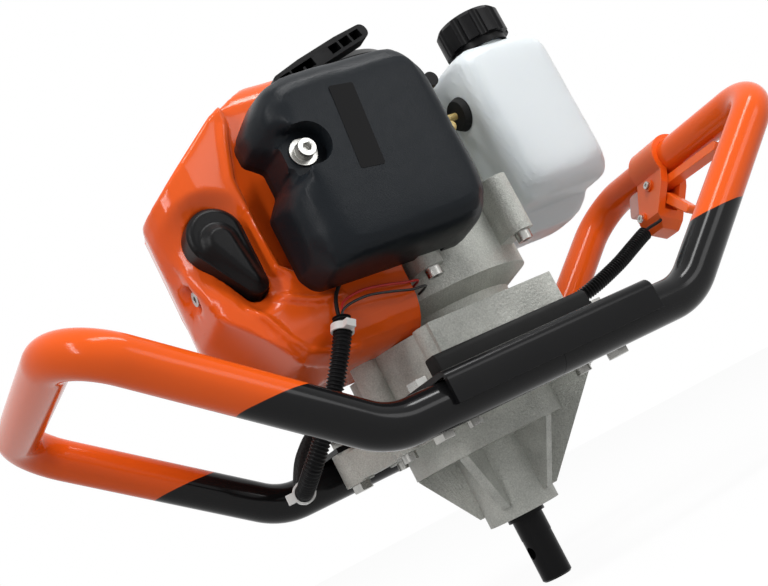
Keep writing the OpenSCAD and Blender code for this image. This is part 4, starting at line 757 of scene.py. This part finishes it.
class AUGER_OT_gearbox(Piece):
    """Makes the cast gearbox with its shafts and gears"""

    bl_idname = "auger.gearbox"
    bl_label = "Gearbox"

    def make(self):
        for node in ("gearbox_lower_case", "gearbox_upper_case"):
            dress(node, "sand_cast", 1.2)
        dress("gearbox_bolts", "zinc_plate", 0.3)
        dress("oil_seal", "rubber_black", 0.3)
        dress("output_shaft", "shaft_oxide", 0.5)
        for node in ("output_bearings", "output_gear", "layshaft", "layshaft_gear",
                     "layshaft_bearings", "drum_bearing", "clutch_drum", "clutch_rotor",
                     "left_clutch_shoe", "right_clutch_shoe", "crankshaft"):
            dress(node, "turned_steel")
        dress("flywheel_fan", "die_cast")


FILTER_POCKET = [
    (-93, 250), (-95, 207), (-100, 195), (-107, 173), (-107, 155), (-107, 138), (-106, 115),
    (-96, 107), (-80, 101), (-20, 92), (-20, 250)]
COVER_TERRACES = [
    [(-134, 108), (-133, 98), (-127, 86), (-121, 73), (-113, 63), (-105, 59), (-80, 54)],
    [(-154, 92), (-146, 78), (-135, 66), (-123, 57)],
    [(-118, 101), (-107, 94), (-96, 89), (-80, 86)]]


def cover_front(x, y, z):
    """The bowl round the boot, the pocket beside the filter and the curved terraces."""
    front = 1.0 - eased(y, -44.0, -30.0)
    if front <= 0.0:
        return x, y, z
    pocket = within(x, z, FILTER_POCKET)
    bowl = 1.0 - eased(outside_pear(x, z), 2.0, 14.0)
    depth = 5.5 * bowl * (1.0 - eased(pocket, -6.0, -2.0))
    depth += 9.0 * eased(pocket, -1.0, 4.0)
    depth -= 1.5 * math.exp(-((pocket + 3.0) / 2.4) ** 2)
    for line in COVER_TERRACES:
        depth -= 2.3 * (1.0 - eased(beside_line(x, z, line), 0.4, 4.2)) * (1.0 - bowl)
    in_x, in_y = max(-132.0 - x, 0.0), max(-38.0 - y, 0.01)
    scale = depth * front / math.hypot(in_x, in_y)
    return x + in_x * scale, y + in_y * scale, z


def boot_dome(x, y, z):
    """The soft front of the boot with the raised pear along its middle."""
    inner = -outside_pear(x, z)
    if y < -66.0:
        raised = -outside_pear(x, z, (-134.5, 138.5, 10.0), (-126.0, 111.0, 5.0))
        dome = 1.5 + 2.5 * (1.0 - (1.0 - min(max(inner, 0.0), 4.0) / 4.0) ** 2)
        top = -66.0 - dome - 5.0 * eased(raised, -2.5, 5.0)
        return x, top if y <= -71.9 else max(y, top), z
    if -63.0 < y < -61.0 and inner < 6.5:
        return x, y + 7.0, z
    return x, y, z


class AUGER_OT_engine(Piece):
    """Makes the castings, the cylinder and the covers of the engine"""

    bl_idname = "auger.engine"
    bl_label = "Engine"

    def make(self):
        for node in ("clutch_housing", "crankcase"):
            dress(node, "sand_cast", 1.2)
        dress("engine_cylinder", "die_cast", 0.4)
        dress("housing_bolts", "zinc_plate", 0.3)
        dress("spark_plug", "porcelain", 0.2)
        sculpted("spark_plug_boot", "moulded_black", lambda x, y, z: 1.5 if y < -70.0 else 6.0,
                 move=boot_dome, sharp=60.0)
        sculpted("engine_cover", "cover_plastic",
                 lambda x, y, z: 2.5 if y < -50.0 and x < -58.0 else 4.0 if y < -36.0 else 7.0,
                 4, lambda x, y, z: x < -38.0, cover_front)
        dress("cover_screws", "zinc_plate", 0.2)
        dress("muffler", "heated_steel", 1.0)
        dress("recoil_housing", "moulded_black", 1.0)
        dress("recoil_screws", "zinc_plate", 0.2)
        dress("recoil_pulley", "moulded_black", 0.4)
        dress("starter_grip", "moulded_black", 0.8, segments=3)


def filter_top(x, y, z):
    """The upper wall of the filter cover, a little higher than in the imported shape."""
    return x, y, z + 4.0 * eased(z, 175.0, 203.0)


def soft_filter(x, y, z):
    """All of the filter cover's front but the seat of its bolt."""
    return y < -83.0 and math.hypot(x + 82.0, z - 160.0) > 14.5


def soft_tank(x, y, z):
    """All of the tank but its neck and the seat of the grommet."""
    neck = z >= 205.0 and math.hypot(x - 117.0, y + 37.0) <= 27.0
    seat = math.hypot(y + 36.0, z - 177.0) <= (13.0 if x < 86.0 else 0.0)
    return not neck and not seat


class AUGER_OT_intake(Piece):
    """Makes the air filter, the carburettor and the fuel tank"""

    bl_idname = "auger.intake"
    bl_label = "Intake and fuel"

    def make(self):
        dress("intake_block", "moulded_black", 0.6)
        dress("carburettor", "die_cast", 0.6)
        dress("throttle_arm", "zinc_plate", 0.2)
        dress("choke_lever", "moulded_black", 0.5)
        dress("primer_bulb", "primer_rubber", 0.5)
        dress("air_filter_base", "moulded_black", 0.6)
        dress("filter_element", "filter_foam")
        sculpted("air_filter_cover", "satin_black_painted_reflection", lambda x, y, z: 3.8, 90, soft_filter,
                 filter_top, merge=1.5)
        self.label()
        dress("filter_cover_bolt", "zinc_plate", 0.3)
        sculpted("fuel_tank", "tank_wall", lambda x, y, z: 4.8, 30, soft_tank, merge=1.5)
        dress("fuel_cap", "moulded_black", 0.6)
        dress("tank_grommet", "rubber_black", 0.5)
        dress("fuel_line", "fuel_hose")

    def label(self):
        """A thin bare label on the front of the filter cover"""
        shape = bmesh.new()
        half_x, half_z, corner, thick = 6.3, 24.5, 1.5, 0.6
        corners = []
        for quarter, (cx, cz) in enumerate(((half_x, half_z), (-half_x, half_z),
                                            (-half_x, -half_z), (half_x, -half_z))):
            for k in range(7):
                a = math.radians(90 * quarter + 15 * k)
                corners.append((cx + corner * math.cos(a), cz + corner * math.sin(a)))
        lean = math.radians(6.0)
        front = []
        for u, w in corners:
            x = -50.5 + u * math.cos(lean) + w * math.sin(lean)
            z = 161.5 - u * math.sin(lean) + w * math.cos(lean)
            front.append(shape.verts.new(at(x, -120.25, z)))
        face = shape.faces.new(front)
        body = bmesh.ops.extrude_face_region(shape, geom=[face])
        for item in body["geom"]:
            if isinstance(item, bmesh.types.BMVert):
                item.co.y += thick * MM
        bmesh.ops.recalc_face_normals(shape, faces=shape.faces)
        mesh = as_mesh(shape, "filter_label")
        mesh.materials.append(finish("label_film"))
        placed("filter_label", mesh, BODY_OF["air_filter_cover"])


class AUGER_OT_controls(Piece):
    """Makes the throttle unit on the right grip"""

    bl_idname = "auger.controls"
    bl_label = "Throttle unit"

    def make(self):
        dress("throttle_housing", "unit_plastic", 1.2, segments=3)
        dress("unit_screws", "zinc_plate", 0.2)
        dress("throttle_trigger", "unit_plastic", 1.0, segments=3)
        dress("lockout_lever", "unit_plastic", 0.8, segments=3)
        dress("stop_button", "button_cap", 1.0, segments=3)


CONDUIT_ROUTE = [
    (205, 8, 60.5), (190, 9, 55), (168, 10, 47), (138, 16, 39), (112, 34, 36), (88, 58, 38),
    (58, 75, 41), (20, 79, 42), (-30, 79, 41), (-70, 70, 35), (-98, 46, 21), (-120, 14, 5),
    (-134, -16, -4), (-136, -40, 1), (-126, -56, 16), (-112, -67, 36), (-101, -73, 53),
    (-94, -74, 64), (-90, -73, 72)]
CONDUIT_START = (-0.96, 0.0, -0.27)
CONDUIT_FINISH = (0.35, 0.1, 0.93)
CABLE_TAIL = [
    (-84, -69.6, 87), (-66, -69.3, 102), (-46, -69, 122), (-31, -68.4, 144), (-26, -58, 166),
    (-14.3, -54, 176)]
RED_TAIL = [
    (-84, -71.5, 80), (-70, -71, 83), (-54, -70.5, 81), (-40, -69.5, 78), (-30, -66, 77),
    (-27, -48.3, 77)]
BLACK_TAIL = [
    (-84, -74, 77), (-70, -75, 78), (-54, -74.5, 75), (-40, -72.5, 72), (-28, -68, 72),
    (-24.5, -50.3, 72)]


def conduit_line(count=60):
    return smooth_line(CONDUIT_ROUTE, CONDUIT_START, CONDUIT_FINISH, count)


def beside_conduit(across, over):
    """A line inside the conduit, to one side of its middle."""
    line = conduit_line()
    side = Vector((0, 0, 1))
    out = []
    for i, point in enumerate(line):
        way = (line[min(i + 1, len(line) - 1)] - line[max(i - 1, 0)]).normalized()
        side = (side - way * side.dot(way)).normalized()
        out.append(point + side * across + way.cross(side) * over)
    return out


def unit_exit(y, lift):
    """Where a cord leaves the sloping face under the throttle unit."""
    x = -7.0 - lift / math.sqrt(2)
    z = -51.0 - lift / math.sqrt(2)
    c = math.cos(math.radians(30))
    s = math.sin(math.radians(30))
    return Vector((GRIP_X + x * c + z * s, y, GRIP_Z - x * s + z * c))


def cord_points(across, over, y, tail, arrive):
    """A cord's line from the throttle unit through the conduit to the end of its tail."""
    inside = beside_conduit(across, over)
    lead = smooth_line([unit_exit(y, 0.4), unit_exit(y, 3), inside[0]],
                       CONDUIT_START, CONDUIT_START, 10)
    end = smooth_line([inside[-1]] + tail, CONDUIT_FINISH, arrive, 6 * len(tail))
    return lead[:-1] + inside + end[1:]


class AUGER_OT_wiring(Piece):
    """Lays the ribbed conduit with the throttle cable and the stop wires"""

    bl_idname = "auger.wiring"
    bl_label = "Wiring"

    def make(self):
        wiring = settings("wiring")
        conduit = swept("ribbed_conduit", conduit_line(240), wiring.conduit / MM / 2,
                        "moulded_black", "frame", sides=20, ribs=wiring.ribs,
                        depth=wiring.rib_depth / MM, count=wiring.ribs * 8)
        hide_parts("wiring_conduit")
        cable = swept("gas_cable", cord_points(1.5, 0.0, 2.0, CABLE_TAIL, (1, 0, 0)), 1.2,
                      "rubber_black", "frame", sides=12)
        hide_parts("throttle_cable")
        red = swept("red_stop_wire", cord_points(-1.2, -1.2, 16.6, RED_TAIL, (0, 1, 0)), 0.8,
                    "red_sheath", "frame", sides=12)
        swept("black_stop_wire", cord_points(-1.2, 1.2, 19.6, BLACK_TAIL, (0, 1, 0)), 0.8,
              "black_sheath", "frame", sides=12)
        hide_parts("stop_wires")
        dress("cable_ties", "tie_nylon", 0.3)


class AUGER_OT_rope(Piece):
    """Threads the starter rope between its guide and the grip"""

    bl_idname = "auger.rope"
    bl_label = "Starter rope"

    def make(self):
        low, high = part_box("starter_rope")
        middle = (low + high) / 2
        start, stop = high.y, low.y
        steps, count = 60, 24
        strands, lay_length, radius = 3, 0.011, 0.0019
        shape = bmesh.new()
        hoops = []
        for i in range(steps + 1):
            y = start + (stop - start) * i / steps
            hoop = []
            for k in range(count):
                a = 2 * math.pi * k / count
                lay = strands * (a + y / lay_length * 2 * math.pi / strands)
                r = radius * (0.88 + 0.12 * abs(math.cos(lay / 2)))
                x, z = middle.x + r * math.cos(a), middle.z + r * math.sin(a)
                hoop.append(shape.verts.new((x, y, z)))
            hoops.append(hoop)
        for first, second in zip(hoops, hoops[1:]):
            for k in range(count):
                m = (k + 1) % count
                shape.faces.new((first[k], first[m], second[m], second[k]))
        shape.faces.new(hoops[0][::-1])
        shape.faces.new(hoops[-1])
        bmesh.ops.recalc_face_normals(shape, faces=shape.faces)
        shade(shape, 50.0)
        mesh = as_mesh(shape, "starter_rope_lay")
        mesh.materials.append(finish("rope_yarn"))
        rope = bpy.data.objects.new("starter_rope_lay", mesh)
        bpy.context.scene.collection.objects.link(rope)
        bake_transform(rope)
        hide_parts("starter_rope")


# Studio

CAMERA_AT = (-0.3913, -0.6739, 0.0559)
CAMERA_RIGHT = Vector((0.81154, -0.36877, -0.45323))
CAMERA_DOWN = Vector((-0.33066, 0.34967, -0.87658))
CAMERA_AHEAD = Vector((0.48174, 0.86124, 0.16183))
FLOOR = -0.0202
LAMPS_AIM = Vector((0.0, 0.0, 0.18))


def coloured(tree, kind, tone, strength=None):
    """A plain grey or white shader."""
    made = tree.nodes.new(kind)
    made.inputs["Color"].default_value = (tone, tone, tone, 1)
    if strength is not None:
        made.inputs["Strength"].default_value = strength
    return made


def seen_white(tree, level, lit, white, result):
    """Shows plain white to the camera and in reflections, and the lit shader to other rays."""
    path = tree.nodes.new("ShaderNodeLightPath")
    camera, glossy, through = [
        Flow(tree, path.outputs[key])
        for key in ("Is Camera Ray", "Is Glossy Ray", "Is Transmission Ray")]
    mix = tree.nodes.new("ShaderNodeMixShader")
    share = (camera + glossy + through).clamped() * level
    for socket, place in zip((share.socket, lit.outputs[0], white.outputs[0]), mix.inputs):
        tree.links.new(socket, place)
    tree.links.new(mix.outputs[0], tree.nodes.new(result).inputs[0])


class AUGER_OT_studio(Piece):
    """Sets up the camera, the lamps, the room and the floor"""

    bl_idname = "auger.studio"
    bl_label = "Studio"

    def make(self):
        studio = settings("studio")
        scene = bpy.context.scene
        scene.view_settings.view_transform = "Standard"
        self.camera(scene, studio)
        self.room(scene, studio)
        self.floor()
        self.lamp("top_lamp", (0.35, -0.85, 1.8), (1.5, 0.3), studio.key)
        self.lamp("left_lamp", (-1.5, -1.0, 1.2), (0.2, 1.4), studio.key * 0.65)
        self.lamp("front_lamp", (0.85, -1.55, 0.8), (0.8, 0.5), studio.fill)

    def camera(self, scene, studio):
        lens = bpy.data.cameras.new("camera")
        lens.lens = studio.lens
        lens.sensor_width = 36.0
        lens.shift_x = -0.0116
        lens.shift_y = 0.0093
        camera = bpy.data.objects.new("camera", lens)
        turn = Matrix((CAMERA_RIGHT, -CAMERA_DOWN, -CAMERA_AHEAD)).transposed()
        camera.matrix_world = Matrix.Translation(CAMERA_AT) @ turn.to_4x4()
        scene.collection.objects.link(camera)
        scene.camera = camera

    def room(self, scene, studio):
        world = bpy.data.worlds.new("room")
        world.use_nodes = True
        tree = world.node_tree
        tree.nodes.clear()
        seen_white(tree, 1.0, coloured(tree, "ShaderNodeBackground", 1.0, studio.sky),
                   coloured(tree, "ShaderNodeBackground", 1.0), "ShaderNodeOutputWorld")
        scene.world = world

    def floor(self):
        half = 4.0
        mesh = bpy.data.meshes.new("floor")
        mesh.from_pydata([(-half, -half, FLOOR), (half, -half, FLOOR), (half, half, FLOOR),
                          (-half, half, FLOOR)], [], [(0, 1, 2, 3)])
        material = bpy.data.materials.new("floor")
        material.use_nodes = True
        tree = material.node_tree
        tree.nodes.clear()
        seen_white(tree, 0.9, coloured(tree, "ShaderNodeBsdfDiffuse", 0.45),
                   coloured(tree, "ShaderNodeEmission", 1.0, 1.06), "ShaderNodeOutputMaterial")
        mesh.materials.append(material)
        floor = bpy.data.objects.new("floor", mesh)
        bpy.context.scene.collection.objects.link(floor)

    def lamp(self, name, place, size, power):
        light = bpy.data.lights.new(name, "AREA")
        light.shape = "RECTANGLE"
        light.size, light.size_y = size
        light.energy = power
        lamp = bpy.data.objects.new(name, light)
        lamp.location = place
        aim = LAMPS_AIM - lamp.location
        lamp.rotation_euler = aim.to_track_quat("-Z", "Y").to_euler()
        bpy.context.scene.collection.objects.link(lamp)


OPERATORS = (AUGER_OT_studio, AUGER_OT_wiring, AUGER_OT_handles, AUGER_OT_gearbox, AUGER_OT_engine,
             AUGER_OT_intake, AUGER_OT_controls, AUGER_OT_rope)


class AUGER_PT_sidebar(bpy.types.Panel):
    """Settings and pieces of the power head"""

    bl_idname = "AUGER_PT_sidebar"
    bl_label = "Earth auger power head"
    bl_space_type = "VIEW_3D"
    bl_region_type = "UI"
    bl_category = "Auger"

    def draw(self, context):
        for name in SETTINGS:
            box = self.layout.box()
            group = getattr(context.scene, name)
            for key in group.__annotations__:
                box.prop(group, key)
        for operator in OPERATORS:
            self.layout.operator(operator.bl_idname)


def register():
    for name, group in SETTINGS.items():
        bpy.utils.register_class(group)
        setattr(bpy.types.Scene, name, PointerProperty(type=group))
    for operator in OPERATORS:
        bpy.utils.register_class(operator)
    bpy.utils.register_class(AUGER_PT_sidebar)


def unregister():
    bpy.utils.unregister_class(AUGER_PT_sidebar)
    for operator in reversed(OPERATORS):
        bpy.utils.unregister_class(operator)
    for name, group in SETTINGS.items():
        delattr(bpy.types.Scene, name)
        bpy.utils.unregister_class(group)


def main():
    register()
    for operator in OPERATORS:
        group, name = operator.bl_idname.split(".")
        getattr(getattr(bpy.ops, group), name)()


if __name__ == "__main__":
    main()
